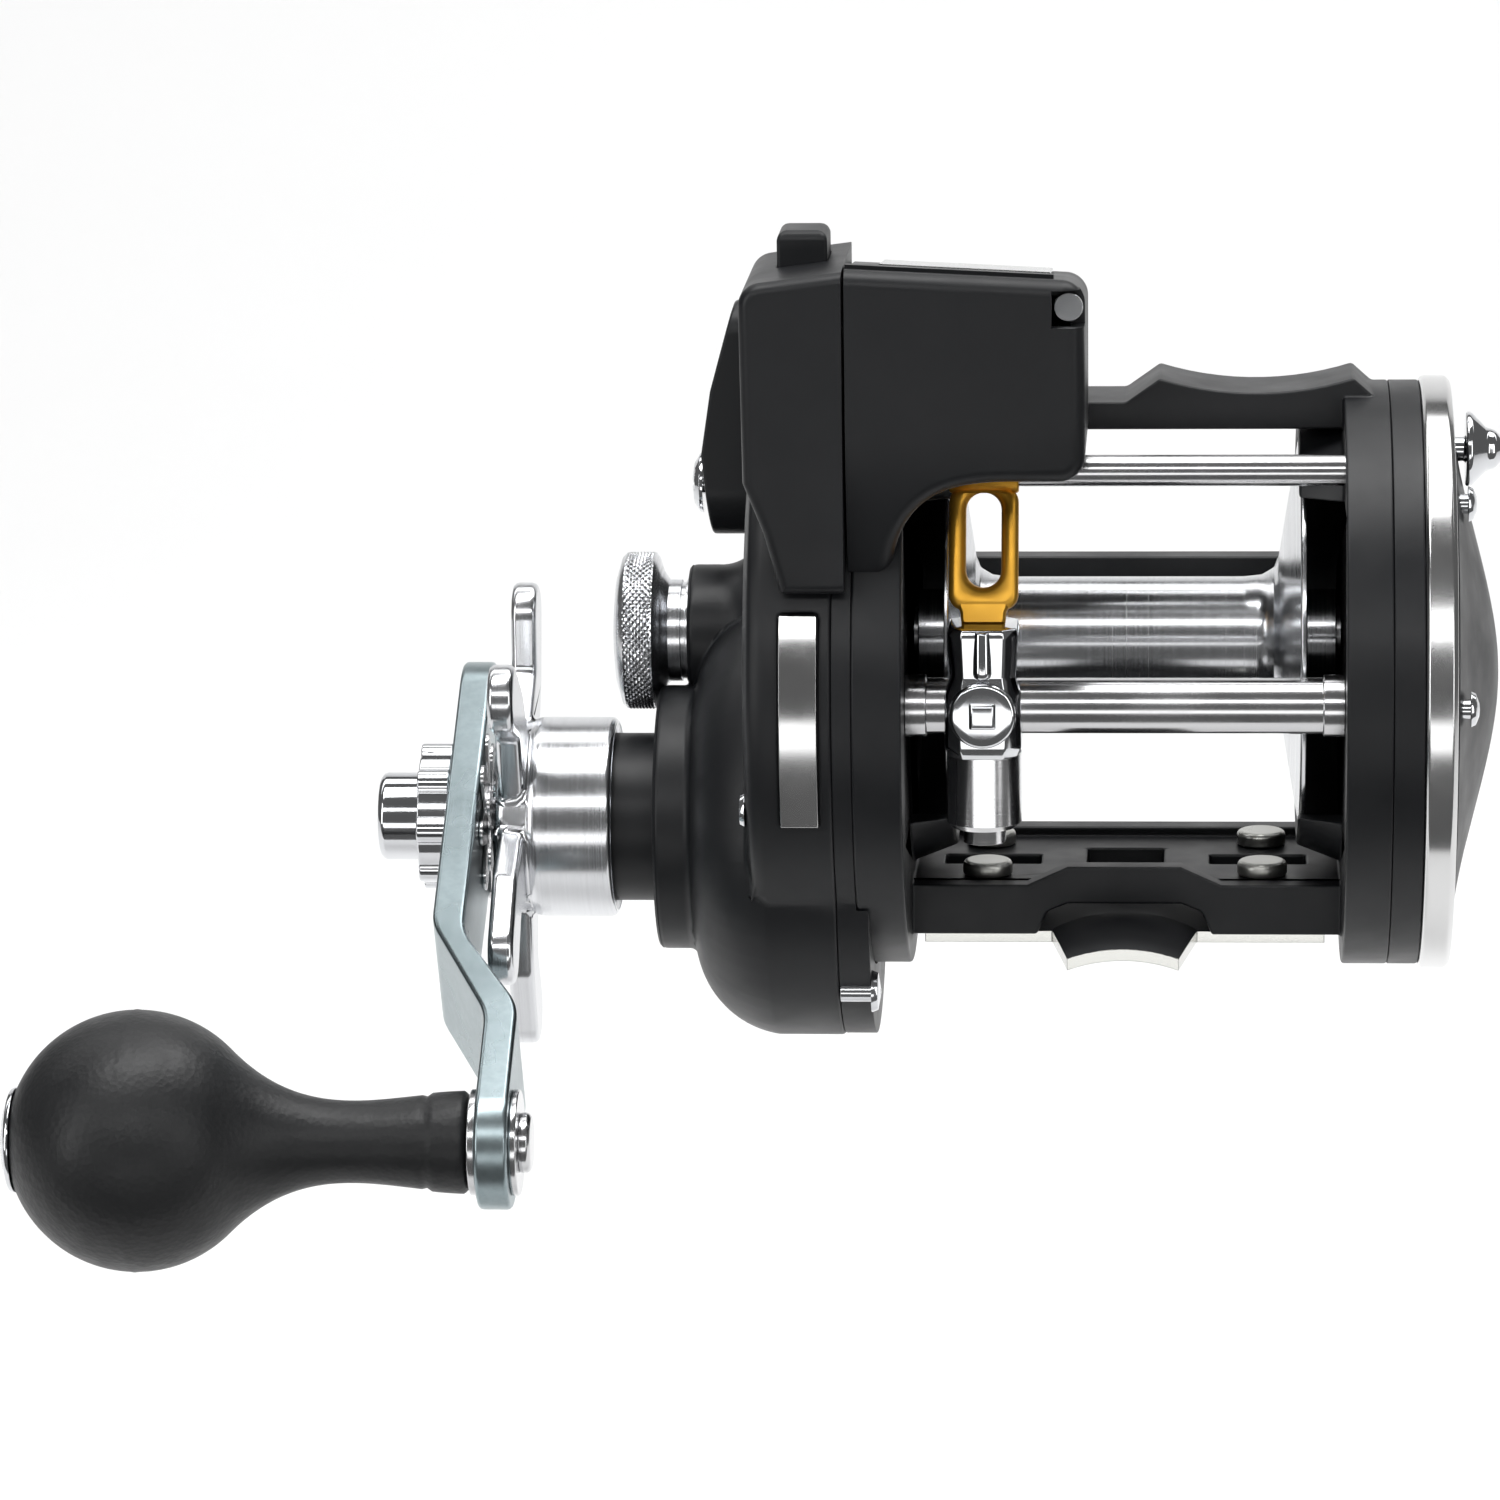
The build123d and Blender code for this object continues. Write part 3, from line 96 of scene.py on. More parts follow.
class Shader:
    """Short names for building one node material."""

    def __init__(self, name, color, metallic, roughness, **sockets):
        self.material = bpy.data.materials.new(name)
        self.material.use_nodes = True
        self.nodes = self.material.node_tree.nodes
        self.links = self.material.node_tree.links
        self.surface = self.nodes["Principled BSDF"]
        self.surface.inputs["Base Color"].default_value = (*color, 1)
        self.surface.inputs["Metallic"].default_value = metallic
        self.surface.inputs["Roughness"].default_value = roughness
        for socket, value in sockets.items():
            self.surface.inputs[socket.replace("_", " ")].default_value = value
        self.place = self.nodes.new("ShaderNodeTexCoord").outputs["Object"]
        self.last_bump = None

    def stretched(self, scale):
        node = self.nodes.new("ShaderNodeMapping")
        node.inputs["Scale"].default_value = scale
        self.links.new(self.place, node.inputs["Vector"])
        return node.outputs["Vector"]

    def noise(self, scale, detail, vector=None, roughness=0.55):
        node = self.nodes.new("ShaderNodeTexNoise")
        node.inputs["Scale"].default_value = scale
        node.inputs["Detail"].default_value = detail
        node.inputs["Roughness"].default_value = roughness
        self.links.new(vector or self.place, node.inputs["Vector"])
        return node.outputs["Fac"]

    def cells(self, scale):
        node = self.nodes.new("ShaderNodeTexVoronoi")
        node.inputs["Scale"].default_value = scale
        self.links.new(self.place, node.inputs["Vector"])
        return node.outputs["Distance"]

    def remap(self, value, low, high, start=0.3, end=0.7):
        node = self.nodes.new("ShaderNodeMapRange")
        node.inputs["From Min"].default_value = start
        node.inputs["From Max"].default_value = end
        node.inputs["To Min"].default_value = low
        node.inputs["To Max"].default_value = high
        self.links.new(value, node.inputs["Value"])
        return node.outputs["Result"]

    def rough(self, value, low, high):
        self.links.new(self.remap(value, low, high), self.surface.inputs["Roughness"])

    def tint(self, value, first, second, start=0.35, end=0.65):
        ramp = self.nodes.new("ShaderNodeValToRGB")
        ramp.color_ramp.elements[0].position = start
        ramp.color_ramp.elements[0].color = (*first, 1)
        ramp.color_ramp.elements[1].position = end
        ramp.color_ramp.elements[1].color = (*second, 1)
        self.links.new(value, ramp.inputs["Fac"])
        self.links.new(ramp.outputs["Color"], self.surface.inputs["Base Color"])

    def facing_up(self):
        """How far a surface faces up, from 0 to 1, on a piece that never turns."""
        node = self.nodes.new("ShaderNodeSeparateXYZ")
        self.links.new(self.nodes.new("ShaderNodeTexCoord").outputs["Normal"], node.inputs["Vector"])
        return node.outputs["Z"]

    def bump(self, value, depth, strength):
        node = self.nodes.new("ShaderNodeBump")
        node.inputs["Strength"].default_value = strength
        node.inputs["Distance"].default_value = depth
        self.links.new(value, node.inputs["Height"])
        if self.last_bump:
            self.links.new(self.last_bump, node.inputs["Normal"])
        self.last_bump = node.outputs["Normal"]
        self.links.new(self.last_bump, self.surface.inputs["Normal"])


def shade(color, share):
    """A darker colour: a share of each channel."""
    return tuple(channel * share for channel in color)


def moulded(name, color=BLACK, grain=5200, depth=0.014 * MM):
    """Filled nylon: satin, with a fine spark-eroded texture and faint cloudiness."""
    shader = Shader(name, color, 0.0, 0.42, Specular_IOR_Level=0.36)
    cloud = shader.noise(45, 4)
    shader.tint(cloud, color, tuple(channel * 1.15 + 0.0004 for channel in color))
    shader.rough(shader.noise(140, 3), 0.37, 0.47)
    shader.bump(shader.noise(grain, 2), depth, 0.5)
    return shader.material


def bright_metal(name, color, low, high, grain=None):
    """Polished or plated metal with faint smears, and a brushed grain when one is given."""
    shader = Shader(name, color, 1.0, low)
    shader.rough(shader.noise(90, 4), low, high)
    if grain:
        lines = shader.noise(1.0, 2, shader.stretched(grain))
        shader.bump(lines, 0.003 * MM, 0.5)
    shader.tint(shader.noise(45, 3), shade(color, 0.95), color)
    return shader.material


def turned_metal(name, color, pitch):
    """Lathe-cut aluminium: fine rings across the axis of turning, which is X."""
    shader = Shader(name, color, 1.0, 0.2, Anisotropic=0.35)
    rings = shader.noise(1.0, 3, shader.stretched((1 / pitch, 6, 6)), 0.7)
    shader.bump(rings, 0.008 * MM, 0.5)
    shader.rough(rings, 0.14, 0.28)
    bands = shader.noise(1.0, 2, shader.stretched((0.35 / pitch, 3, 3)))
    shader.tint(bands, shade(color, 0.93), color)
    return shader.material


def anodised(name):
    """Teal grey anodised aluminium with a fine satin blast under the dye."""
    shader = Shader(name, (0.3, 0.36, 0.38), 1.0, 0.26)
    shader.tint(shader.noise(900, 3), (0.285, 0.345, 0.36), (0.32, 0.38, 0.4))
    shader.rough(shader.noise(60, 3), 0.24, 0.32)
    shader.bump(shader.noise(4200, 2), 0.003 * MM, 0.5)
    return shader.material


def coated_steel(name):
    """Stamped steel, coloured by which way a face looks: black on the faces that look up, steel grey on its edges
    and underneath.
    """
    shader = Shader(name, (0.6, 0.6, 0.58), 1.0, 0.32)
    # colour from face direction only: faces that look up are coloured black, faces that look sideways and down
    # stay steel grey
    up = shader.facing_up()
    boundary_noise = shader.noise(700, 4)
    edge = shader.nodes.new("ShaderNodeMath")
    edge.operation = "MULTIPLY_ADD"
    edge.inputs[1].default_value = 0.12
    shader.links.new(boundary_noise, edge.inputs[0])
    shader.links.new(up, edge.inputs[2])
    # mask from the direction a face looks, with noise along its boundary: high on up-facing faces, which get the
    # black
    up_facing_dark = edge.outputs["Value"]
    shader.tint(up_facing_dark, (0.66, 0.66, 0.63), (0.012, 0.013, 0.015), 0.5, 0.58)
    shader.links.new(shader.remap(up_facing_dark, 1.0, 0.0, 0.5, 0.58), shader.surface.inputs["Metallic"])
    shader.links.new(shader.remap(up_facing_dark, 0.24, 0.45, 0.5, 0.58), shader.surface.inputs["Roughness"])
    shader.bump(shader.noise(2600, 2), 0.01 * MM, 0.5)
    return shader.material


def soft_grip(name):
    """Grained soft knob: small leathery pebbles on a dull black."""
    shader = Shader(name, (0.010, 0.0105, 0.0115), 0.0, 0.5, Specular_IOR_Level=0.4)
    shader.tint(shader.noise(80, 4), (0.0085, 0.009, 0.010), (0.0125, 0.013, 0.014))
    shader.rough(shader.noise(400, 3), 0.4, 0.5)
    shader.bump(shader.cells(1300), 0.06 * MM, 0.6)
    shader.bump(shader.noise(2600, 3), 0.03 * MM, 0.5)
    return shader.material


def gold_coat(name):
    """Hard gold coat, a little deeper in colour where it is thick."""
    shader = Shader(name, (0.72, 0.38, 0.04), 0.8, 0.34)
    shader.tint(shader.noise(120, 3), (0.68, 0.35, 0.035), (0.75, 0.4, 0.05))
    shader.rough(shader.noise(300, 3), 0.33, 0.44)
    shader.bump(shader.noise(2500, 2), 0.006 * MM, 0.4)
    return shader.material


def window_glass(name):
    """Clear moulded window with faint smears."""
    shader = Shader(name, (0.4, 0.41, 0.4), 0.0, 0.06, Transmission_Weight=0.85, IOR=1.25)
    shader.rough(shader.noise(60, 3), 0.03, 0.1)
    return shader.material


def woven_fibre(name):
    """Carbon fibre drag material: a coarse dark weave."""
    shader = Shader(name, (0.03, 0.03, 0.032), 0.2, 0.5)
    shader.bump(shader.noise(1500, 2), 0.04 * MM, 0.8)
    shader.tint(shader.cells(900), (0.02, 0.02, 0.022), (0.08, 0.08, 0.085))
    return shader.material


def turned_cap(name):
    """Steel turned about Z, with the tool's rings round it."""
    shader = Shader(name, (0.78, 0.78, 0.79), 1.0, 0.16, Anisotropic=0.3)
    rings = shader.noise(1.0, 3, shader.stretched((8, 8, 5200)), 0.7)
    shader.bump(rings, 0.006 * MM, 0.5)
    shader.rough(rings, 0.12, 0.24)
    shader.tint(shader.noise(60, 3), (0.72, 0.72, 0.73), (0.8, 0.8, 0.81))
    return shader.material


def make_materials():
    return {
        "graphite": moulded("graphite"),
        "foot_metal": coated_steel("foot_metal"),
        "rivet_metal": bright_metal("rivet_metal", (0.5, 0.5, 0.47), 0.26, 0.42, (900, 900, 900)),
        "chrome": bright_metal("chrome", (0.7, 0.71, 0.73), 0.06, 0.12),
        "polished_trim": bright_metal("polished_trim", (0.7, 0.7, 0.7), 0.12, 0.22, (5200, 200, 200)),
        "stainless": bright_metal("stainless", (0.66, 0.66, 0.67), 0.14, 0.24, (2500, 60, 60)),
        "machined_aluminium": turned_metal("machined_aluminium", (0.72, 0.73, 0.75), 0.16 * MM),
        "anodised": anodised("anodised"),
        "gold_coat": gold_coat("gold_coat"),
        "grip": soft_grip("grip"),
        "window": window_glass("window"),
        "steel": bright_metal("steel", (0.58, 0.58, 0.59), 0.2, 0.35, (1200, 80, 80)),
        "brass": bright_metal("brass", (0.8, 0.6, 0.26), 0.18, 0.32, (1400, 100, 100)),
        "acetal": moulded("acetal", (0.62, 0.61, 0.56), 3000, 0.01 * MM),
        "fibre": woven_fibre("fibre"),
        "number_wheel": moulded("number_wheel", (0.72, 0.72, 0.7), 3000, 0.01 * MM),
    }


MATERIALS = make_materials()
for node_name, node_object in frame["nodes"].items():
    material = MATERIALS[SLOT_OF[node_name]]
    node_object.data.materials.clear()
    node_object.data.materials.append(material)


# ---------------------------------------------------------------- pieces made for their looks
WELD = 0.002 * MM  # points this close are one point
FLAT_WITHIN = math.radians(0.6)  # faces that differ by less are one face
SHARP_FROM = math.radians(30)  # edges that turn by more are rounded


def place_piece(name, mesh, node, material=None):
    """Put a finished mesh in place of a CAD node: same body, same slot."""
    piece = bpy.data.objects.new(name, mesh)
    bpy.context.scene.collection.objects.link(piece)
    mesh.materials.clear()
    mesh.materials.append(material or MATERIALS[SLOT_OF[node]])
    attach(piece, BODY_OF[node])
    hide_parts(node)
    return piece


def smooth_mesh(mesh, crease):
    """Smooth shading, with edges that turn by more than the crease kept sharp."""
    for polygon in mesh.polygons:
        polygon.use_smooth = True
    mesh.set_sharp_from_angle(angle=math.radians(crease))


def even_shading(piece):
    """Let the large faces decide the shading, so that flat stays flat beside a rounded edge."""
    weighted = piece.modifiers.new("shading", "WEIGHTED_NORMAL")
    weighted.keep_sharp = True
    weighted.weight = 70
    finish_mesh(piece)


def finish_mesh(piece):
    """Apply the piece's modifiers, so that its mesh is what is seen."""
    graph = bpy.context.evaluated_depsgraph_get()
    mesh = bpy.data.meshes.new_from_object(piece.evaluated_get(graph))
    piece.modifiers.clear()
    piece.data = mesh


def soften(node, width, material=None, clamp=True):
    """Copy of a CAD node with every sharp edge rounded, as moulding, casting or tumbling leaves it."""
    mesh = frame["nodes"][node].data.copy()
    work = bmesh.new()
    work.from_mesh(mesh)
    bmesh.ops.remove_doubles(work, verts=work.verts, dist=WELD)
    bmesh.ops.dissolve_limit(work, angle_limit=FLAT_WITHIN, verts=work.verts, edges=work.edges,
                             use_dissolve_boundaries=False, delimit={"NORMAL"})
    bmesh.ops.recalc_face_normals(work, faces=work.faces)
    work.to_mesh(mesh)
    work.free()
    piece = place_piece(node + "_finished", mesh, node, material)
    bevel = piece.modifiers.new("edges", "BEVEL")
    bevel.width = width * MM
    bevel.segments = 3
    bevel.limit_method = "ANGLE"
    bevel.angle_limit = SHARP_FROM
    bevel.use_clamp_overlap = clamp
    bevel.miter_outer = "MITER_ARC"
    finish_mesh(piece)
    smooth_mesh(piece.data, 40)
    even_shading(piece)


def circle(radius, count):
    """Points round a circle, as pairs."""
    angles = (2 * math.pi * step / count for step in range(count))
    return [(radius * math.cos(angle), radius * math.sin(angle)) for angle in angles]


def ring_mesh(name, rings, closed=False):
    """Skin through rings of points, capped at both ends unless the last ring joins the first."""
    work = bmesh.new()
    levels = [[work.verts.new(point) for point in ring] for ring in rings]
    count = len(rings[0])
    following = levels[1:] + levels[:1] if closed else levels[1:]
    for lower, upper in zip(levels, following):
        for i in range(count):
            work.faces.new((lower[i], lower[(i + 1) % count], upper[(i + 1) % count], upper[i]))
    if not closed:
        work.faces.new(list(reversed(levels[0])))
        work.faces.new(levels[-1])
    bmesh.ops.recalc_face_normals(work, faces=work.faces)
    mesh = bpy.data.meshes.new(name)
    work.to_mesh(mesh)
    work.free()
    return mesh


def lathe(name, profile, centre, segments, relief=None):
    """Solid of revolution about an axis parallel to X, from (x, radius) in metres.

    relief(x, angle) is added to the radius.
    """
    rings = []
    for x, radius in profile:
        ring = []
        for step in range(segments):
            angle = 2 * math.pi * step / segments
            reach = radius + (relief(x, angle) if relief else 0)
            ring.append((x, centre[1] + reach * math.cos(angle), centre[2] + reach * math.sin(angle)))
        rings.append(ring)
    return ring_mesh(name, rings)


def join_shells(name, shells):
    """One mesh from several closed shells."""
    work = bmesh.new()
    for shell in shells:
        work.from_mesh(shell)
    mesh = bpy.data.meshes.new(name)
    work.to_mesh(mesh)
    work.free()
    return mesh


def make_knob_grip():
    """Ball knob on a waisted neck, with a collar seam and the mould's parting line."""
    low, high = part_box("knob_grip")
    axis = JOINT["knob_spin"]["pos_m"]
    ball_r = (high[2] - low[2]) / 2
    cap_x, arm_x = low[0], high[0]
    ball_x = cap_x + 14.6 * MM
    cap_share = 5.8 / 15.7  # radius of the end cap against that of the ball
    bore_r, neck_r, edge = 2.8 * MM, 6.0 * MM, 0.4 * MM
    join = ball_r / math.sqrt(2)  # radius where the neck meets the ball, sloping at 45 degrees
    length = arm_x - (ball_x + join)
    collar = arm_x - 4.9 * MM
    profile = [(arm_x, bore_r), (arm_x, neck_r - edge), (arm_x - edge, neck_r)]
    neck_steps, ball_steps = 46, 60
    for step in range(1, neck_steps):
        t = step / neck_steps
        x = arm_x - t * length
        radius = neck_r * (2 * t**3 - 3 * t**2 + 1) + join * (3 * t**2 - 2 * t**3) + length * (t**3 - t**2)
        if x > collar:
            radius += 0.16 * MM
        if abs(x - collar) < 0.35 * MM:
            radius -= 0.22 * MM
        profile.append((x, radius))
    start = math.asin(join / ball_r)
    end = math.pi - math.asin(cap_share)
    for step in range(ball_steps + 1):
        angle = start + (end - start) * step / ball_steps
        parting_line = 0.07 * MM if abs(angle - math.pi / 2) < 0.012 else 0
        profile.append((ball_x + ball_r * math.cos(angle), ball_r * math.sin(angle) + parting_line))
    profile.append((cap_x, bore_r))
    mesh = lathe("knob_grip_turned", profile, axis, 128)
    smooth_mesh(mesh, 50)
    place_piece("knob_grip_turned", mesh, "knob_grip")


def make_brake_knob():
    """Cast control cap: diamond-knurled rim, plain cone and polished neck."""
    low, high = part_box("brake_knob")
    axis = JOINT["brake_turn"]["pos_m"]
    rim_r = (high[2] - low[2]) / 2
    outer, inner = low[0], high[0]
    rim_start, rim_end, neck_end = outer + 1.7 * MM, outer + 5.3 * MM, outer + 9.5 * MM
    stem_r, tip_r = 2.5 * MM, 0.2 * MM
    diamonds, rows = 64, 26

    def knurl(x, angle):
        """Two crossing sets of ridges on the rim, fading out at its edges."""
        if not rim_start < x < rim_end:
            return 0
        along = (x - rim_start) / (rim_end - rim_start) * 9 * math.pi
        around = angle * diamonds
        fade = min(1, min(x - rim_start, rim_end - x) / (0.35 * MM))
        diamond = abs(math.sin((around + along) / 2)) * abs(math.sin((around - along) / 2))
        return 0.3 * MM * fade * (diamond - 0.7)

    profile = [(outer, tip_r), (outer + 0.1 * MM, 3.5 * MM), (outer + 0.5 * MM, 7 * MM)]
    profile += [(outer + 1.2 * MM, rim_r - 0.5 * MM), (rim_start, rim_r)]
    for row in range(1, rows):
        profile.append((rim_start + (rim_end - rim_start) * row / rows, rim_r))
    profile += [(rim_end, rim_r), (rim_end + 0.35 * MM, rim_r - 0.5 * MM)]
    # plain cone, polished neck and its groove, as millimetres from the rim and radius
    for step, radius in ((0.9, 7.6), (1.6, 6.6), (1.8, 6.4), (3.3, 6.4), (3.4, 6.1), (3.9, 6.1), (4.0, 6.5)):
        profile.append((rim_end + step * MM, radius * MM))
    profile += [(neck_end, 6.5 * MM), (neck_end, stem_r), (inner, stem_r), (inner, tip_r)]
    mesh = lathe("brake_knob_knurled", profile, axis, 384, knurl)
    smooth_mesh(mesh, 32)
    place_piece("brake_knob_knurled", mesh, "brake_knob")


def column(name, outline, levels):
    """Upright shell: (x, y) outline about a middle, with (z, scale, shift in y) for each level."""
    rings = []
    for z, scale, shift in levels:
        rings.append([(x * scale, y * scale + shift, z) for x, y in outline])
    return ring_mesh(name, rings)


def make_carriage():
    """Plated casting: chamfered column, round boss with a square pad, and a rib up its neck."""
    low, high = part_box("line_guide_carriage")
    middle = Vector(((low[0] + high[0]) / 2, (low[1] + high[1]) / 2, 0))
    half_x, half_y = (high[0] - low[0]) / 2, (high[1] - low[1]) / 2
    tall = high[2] - low[2]
    cut = 1.9 * MM
    outline = [(-half_x, -half_y + cut), (-half_x + cut, -half_y),
               (half_x - cut, -half_y), (half_x, -half_y + cut),
               (half_x, half_y - cut), (half_x - cut, half_y),
               (-half_x + cut, half_y), (-half_x, half_y - cut)]
    levels = [(low[2], 0.9, 0), (low[2] + 0.08 * tall, 1.0, 0), (low[2] + 0.48 * tall, 1.0, 0),
              (low[2] + 0.62 * tall, 0.86, 0), (low[2] + 0.95 * tall, 0.93, 0), (high[2], 0.88, 0)]
    body = column("carriage_body", outline, levels)
    boss_r, boss_z, front = 4.05 * MM, low[2] + 0.35 * tall, -half_y
    rings = []
    for depth, inset in ((4.0, 0), (-0.1, 0), (-0.45, 0.35), (-0.6, 1.3)):
        round_points = circle(boss_r - inset * MM, 48)
        rings.append([(x, front + depth * MM, boss_z + z) for x, z in round_points])
    boss = ring_mesh("carriage_boss", rings)
    rings = []
    for depth, half in ((0.5, 1.85), (-0.7, 1.6), (-1.05, 1.25)):
        square = [(-half, -half), (half, -half), (half, half), (-half, half)]
        rings.append([(x * MM, front + depth * MM, boss_z + z * MM) for x, z in square])
    pad = ring_mesh("carriage_pad", rings)
    rib_base = low[2] + 0.61 * tall
    rib = column("carriage_rib", circle(1.15 * MM, 24), [
        (rib_base, 0.5, front + 0.9 * MM), (rib_base + 0.35 * MM, 0.85, front + 0.75 * MM),
        (rib_base + 0.9 * MM, 1.0, front + 0.75 * MM), (high[2] - 0.25 * MM, 0.92, front + 1.0 * MM)])
    mesh = join_shells("line_guide_carriage_cast", [body, boss, pad, rib])
    mesh.transform(Matrix.Translation(middle))
    piece = place_piece("line_guide_carriage_cast", mesh, "line_guide_carriage")
    bevel = piece.modifiers.new("edges", "BEVEL")
    bevel.width = 0.28 * MM
    bevel.segments = 3
    bevel.angle_limit = math.radians(20)
    finish_mesh(piece)
    smooth_mesh(piece.data, 40)


def offset_outline(shape, offset, middle):
    """Points round a middle where a shape's distance function reaches an offset, found by halving."""
    points = []
    for across, upwards in circle(1, 160):
        near, far = 0.0, 30 * MM
        for _ in range(40):
            reach = (near + far) / 2
            point = (middle[0] + reach * across, middle[1] + reach * upwards)
            if shape(*point) < offset:
                near = reach
            else:
                far = reach
        points.append(point)
    return points


def make_guide():
    """Guide loop with rolled rims, its short neck, and the sleeve that slides on the upper bar."""
    low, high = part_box("line_guide")
    bar_low, bar_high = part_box("upper_guide_bar")
    bar = ((bar_low[1] + bar_high[1]) / 2, (bar_low[2] + bar_high[2]) / 2)
    lean, thick = math.radians(20.5), 1.7 * MM
    slot_r, slot_middle, slot_half = 2.12 * MM, 9.9 * MM, 3.68 * MM
    plate_middle, plate_half, corner_r = 8.85 * MM, 7.55 * MM, 1.9 * MM
    foot = Vector(((low[0] + high[0]) / 2, low[1], low[2] + thick * math.sin(lean)))
    up = Vector((0, math.sin(lean), math.cos(lean)))
    out = Vector((0, -math.cos(lean), math.sin(lean)))
    half = (high[0] - low[0]) / 2

    def seat(across, along_plate, outwards):
        return foot + Vector((across, 0, 0)) + up * along_plate + out * outwards

    def plate(x, y):
        """Distance outside the plate's rounded outline."""
        dx = abs(x) - (half - corner_r)
        dy = abs(y - plate_middle) - (plate_half - corner_r)
        return math.hypot(max(dx, 0), max(dy, 0)) + min(max(dx, dy), 0) - corner_r

    def slot(x, y):
        """Distance outside the slot's outline."""
        return math.hypot(x, max(abs(y - slot_middle) - slot_half, 0)) - slot_r

    # rolled section, from the back of the outer rim over the front to the back of the slot's rim
    section = [(plate, -0.3, -1.7), (plate, -0.08, -1.6), (plate, 0, -1.35), (plate, 0, -0.85),
               (plate, -0.1, -0.5), (plate, -0.32, -0.2), (plate, -0.68, -0.03), (plate, -0.95, 0),
               (slot, 0.95, -0.04), (slot, 0.62, -0.2), (slot, 0.3, -0.48), (slot, 0.08, -0.85),
               (slot, 0, -1.2), (slot, 0.06, -1.5), (slot, 0.3, -1.7)]
    rings = []
    for shape, offset, outwards in section:
        outline = offset_outline(shape, offset * MM, (0, slot_middle))
        rings.append([seat(x, y, outwards * MM) for x, y in outline])
    loop = ring_mesh("guide_loop", rings, closed=True)
    rings = []
    for along_plate, width in ((-0.3, 2.6), (0.0, 2.7), (0.9, 2.75), (1.5, 3.0), (2.4, 3.1)):
        corners = [(-width, -1.4), (-width + 0.25, -1.65), (width - 0.25, -1.65), (width, -1.4),
                   (width, -0.45), (width - 0.35, -0.1), (-width + 0.35, -0.1), (-width, -0.45)]
        rings.append([seat(x * MM, along_plate * MM, outwards * MM) for x, outwards in corners])
    neck = ring_mesh("guide_neck", rings)
    rings = []
    for x, radius in ((-4.2, 2.02), (-4.2, 2.5), (-4.0, 2.7), (4.0, 2.7), (4.2, 2.5), (4.2, 2.02)):
        round_points = circle(radius * MM, 64)
        rings.append([(foot.x + x * MM, bar[0] + y, bar[1] + z) for y, z in round_points])
    sleeve = ring_mesh("guide_sleeve", rings, closed=True)
    mesh = join_shells("line_guide_formed", [loop, neck, sleeve])
    smooth_mesh(mesh, 45)
    place_piece("line_guide_formed", mesh, "line_guide")


def digit_mesh(character, height):
    """One figure as a thin raised print, from Blender's own plain font."""
    curve = bpy.data.curves.new("digit", "FONT")
    curve.body = character
    curve.size = height
    curve.align_x = "CENTER"
    curve.align_y = "CENTER"
    curve.extrude = 0.03 * MM
    curve.resolution_u = 4
    text = bpy.data.objects.new("digit", curve)
    mesh = bpy.data.meshes.new_from_object(text)
    bpy.data.objects.remove(text)
    return mesh


def make_wheel_digits():
    """Printed figures round the three number wheels, upright for someone behind the reel."""
    axis = Vector(JOINT["counter_spin"]["pos_m"])
    ink = moulded("figures", (0.012, 0.012, 0.013), 3000, 0.004 * MM)
    upright = Matrix(((-1, 0, 0), (0, -1, 0), (0, 0, 1))).to_4x4()
    for node in ("units_wheel", "tens_wheel", "hundreds_wheel"):
        low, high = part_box(node)
        centre = Matrix.Translation(((low[0] + high[0]) / 2, axis[1], axis[2]))
        lift = Matrix.Translation((0, 0, (high[2] - low[2]) / 2))
        shells = []
        for figure in range(10):
            shell = digit_mesh(str(figure), 5.2 * MM)
            turn = Matrix.Rotation(figure * math.pi / 5, 4, "X")
            shell.transform(centre @ turn @ lift @ upright)
            shells.append(shell)
        mesh = join_shells(node + "_figures", shells)
        mesh.materials.append(ink)
        piece = bpy.data.objects.new(node + "_figures", mesh)
        bpy.context.scene.collection.objects.link(piece)
        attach(piece, BODY_OF[node])


# width of the rounded edges in millimetres, piece by piece
EDGE_WIDTHS = {
    "frame": 0.35, "palm_side_plate": 0.4, "gear_side_plate": 0.5, "gear_backing_plate": 0.4,
    "counter_housing": 0.35, "counter_gear_cover": 0.35, "reset_button": 0.6, "freespool_lever": 0.9,
    "handle_arm": 0.6, "star_drag_wheel": 0.8, "handle_nut": 0.5, "nut_cap": 0.3, "knob_washers": 0.2,
    "knob_pin": 0.2, "reel_foot": 0.35, "foot_rivets": 0.3, "palm_trim_ring": 0.2, "gear_side_trim": 0.4,
    "worm_guard_tube": 0.15, "upper_guide_bar": 0.1, "clicker_button": 0.3, "case_screws": 0.12,
    "lever_screw": 0.2, "knob_end_cap": 0.2, "drag_spring_washers": 0.1, "palm_cover": 0.2,
    "counter_window": 0.2, "spool": 0.15,
}
# open shapes whose small inner edges may overlap, because nobody sees them
FREE_BEVELS = {"gear_side_plate", "frame", "handle_arm", "star_drag_wheel"}
for node_name, edge_width in EDGE_WIDTHS.items():
    soften(node_name, edge_width, clamp=node_name not in FREE_BEVELS)
soften("pawl_cap", 0.3, material=turned_cap("turned_cap"))
make_knob_grip()
make_brake_knob()
make_carriage()
make_guide()
make_wheel_digits()


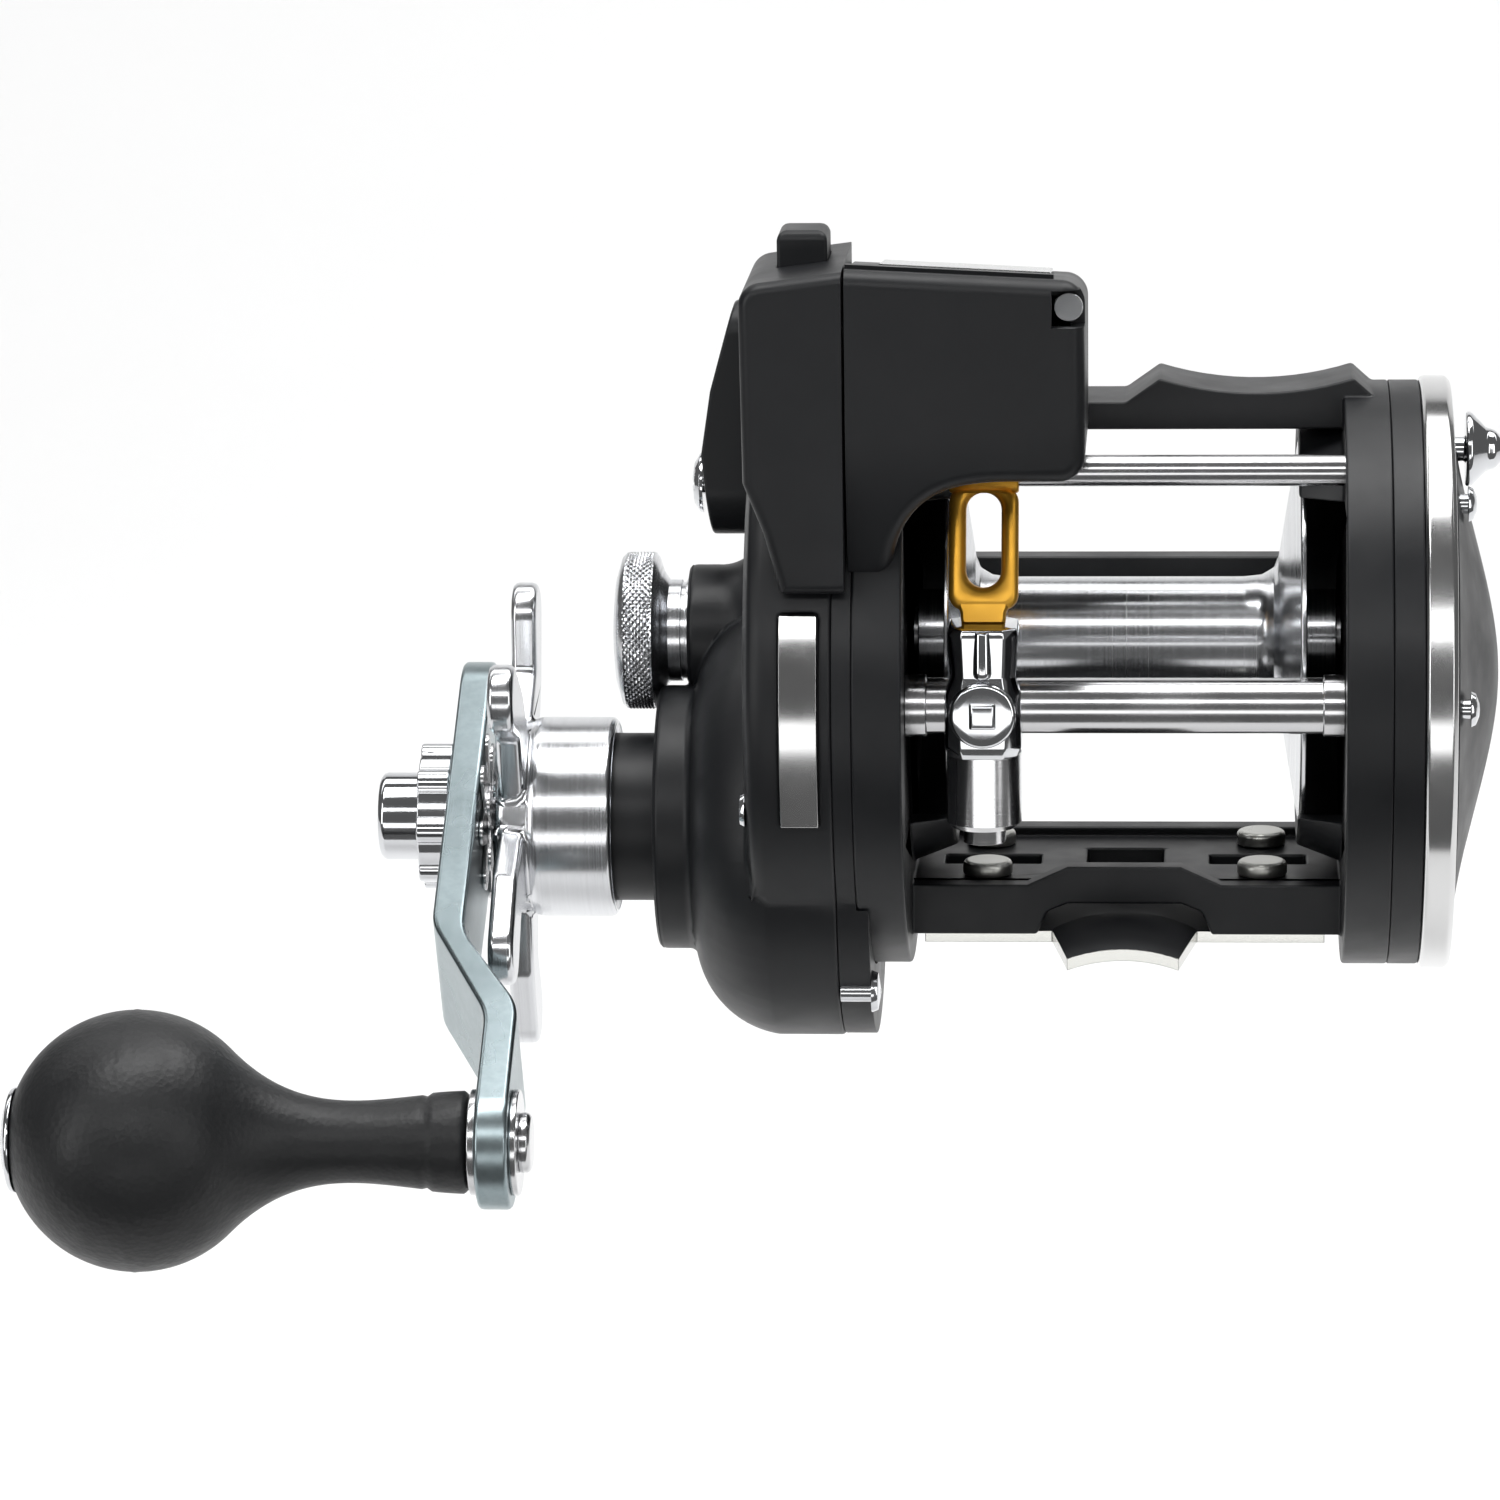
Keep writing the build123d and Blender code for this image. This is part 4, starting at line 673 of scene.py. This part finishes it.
# ---------------------------------------------------------------- studio
def make_floor():
    """Pale sweep: a floor that rises behind the reel in a large curve."""
    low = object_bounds()[0][2] - 0.1
    half, front, back, height, bend = 1.1, -0.12, 1.6, 1.5, 0.8
    line = [(front, low)]
    for step in range(13):
        angle = math.radians(90 * step / 12)
        line.append((back - bend + bend * math.sin(angle), low + bend - bend * math.cos(angle)))
    line.append((back, low + height))
    points = [(side * half, y, z) for y, z in line for side in (-1, 1)]
    faces = [(2 * i, 2 * i + 1, 2 * i + 3, 2 * i + 2) for i in range(len(line) - 1)]
    mesh = bpy.data.meshes.new("floor")
    mesh.from_pydata(points, [], faces)
    for polygon in mesh.polygons:
        polygon.use_smooth = True
    shader = Shader("floor", (0.86, 0.86, 0.86), 0.0, 0.7)
    shader.rough(shader.noise(8, 2), 0.65, 0.75)
    mesh.materials.append(shader.material)
    floor = bpy.data.objects.new("floor", mesh)
    bpy.context.scene.collection.objects.link(floor)


def area_light(name, place, target, size, power):
    data = bpy.data.lights.new(name, "AREA")
    data.shape = "RECTANGLE"
    data.size, data.size_y = size
    data.energy = power
    light = bpy.data.objects.new(name, data)
    light.location = place
    light.rotation_euler = (Vector(target) - Vector(place)).to_track_quat("-Z", "Y").to_euler()
    bpy.context.scene.collection.objects.link(light)


def make_lights():
    """Strips with dark gaps between them, so that the round metal parts show bands."""
    middle = (-0.03, 0, 0.03)
    area_light("top_soft", (0.0, -0.05, 0.8), middle, (1.1, 0.35), 7)
    area_light("front_high", (0.0, -0.85, 0.5), middle, (1.2, 0.12), 2.6)
    area_light("left_soft", (-0.8, -0.6, 0.25), middle, (0.22, 0.8), 2.2)
    area_light("right_soft", (0.8, -0.7, 0.2), middle, (0.22, 0.8), 1.6)
    area_light("front_low", (0.0, -1.0, -0.2), middle, (1.3, 0.22), 1.6)
    area_light("back_wash", (0.0, 0.6, 1.0), (0, 1.4, 0.0), (2.6, 1.0), 17)
    world = bpy.data.worlds.new("studio")
    world.use_nodes = True
    world.node_tree.nodes["Background"].inputs["Color"].default_value = (1, 1, 1, 1)
    world.node_tree.nodes["Background"].inputs["Strength"].default_value = 0.12
    bpy.context.scene.world = world
    bpy.context.scene.view_settings.view_transform = "Standard"


make_floor()
make_lights()
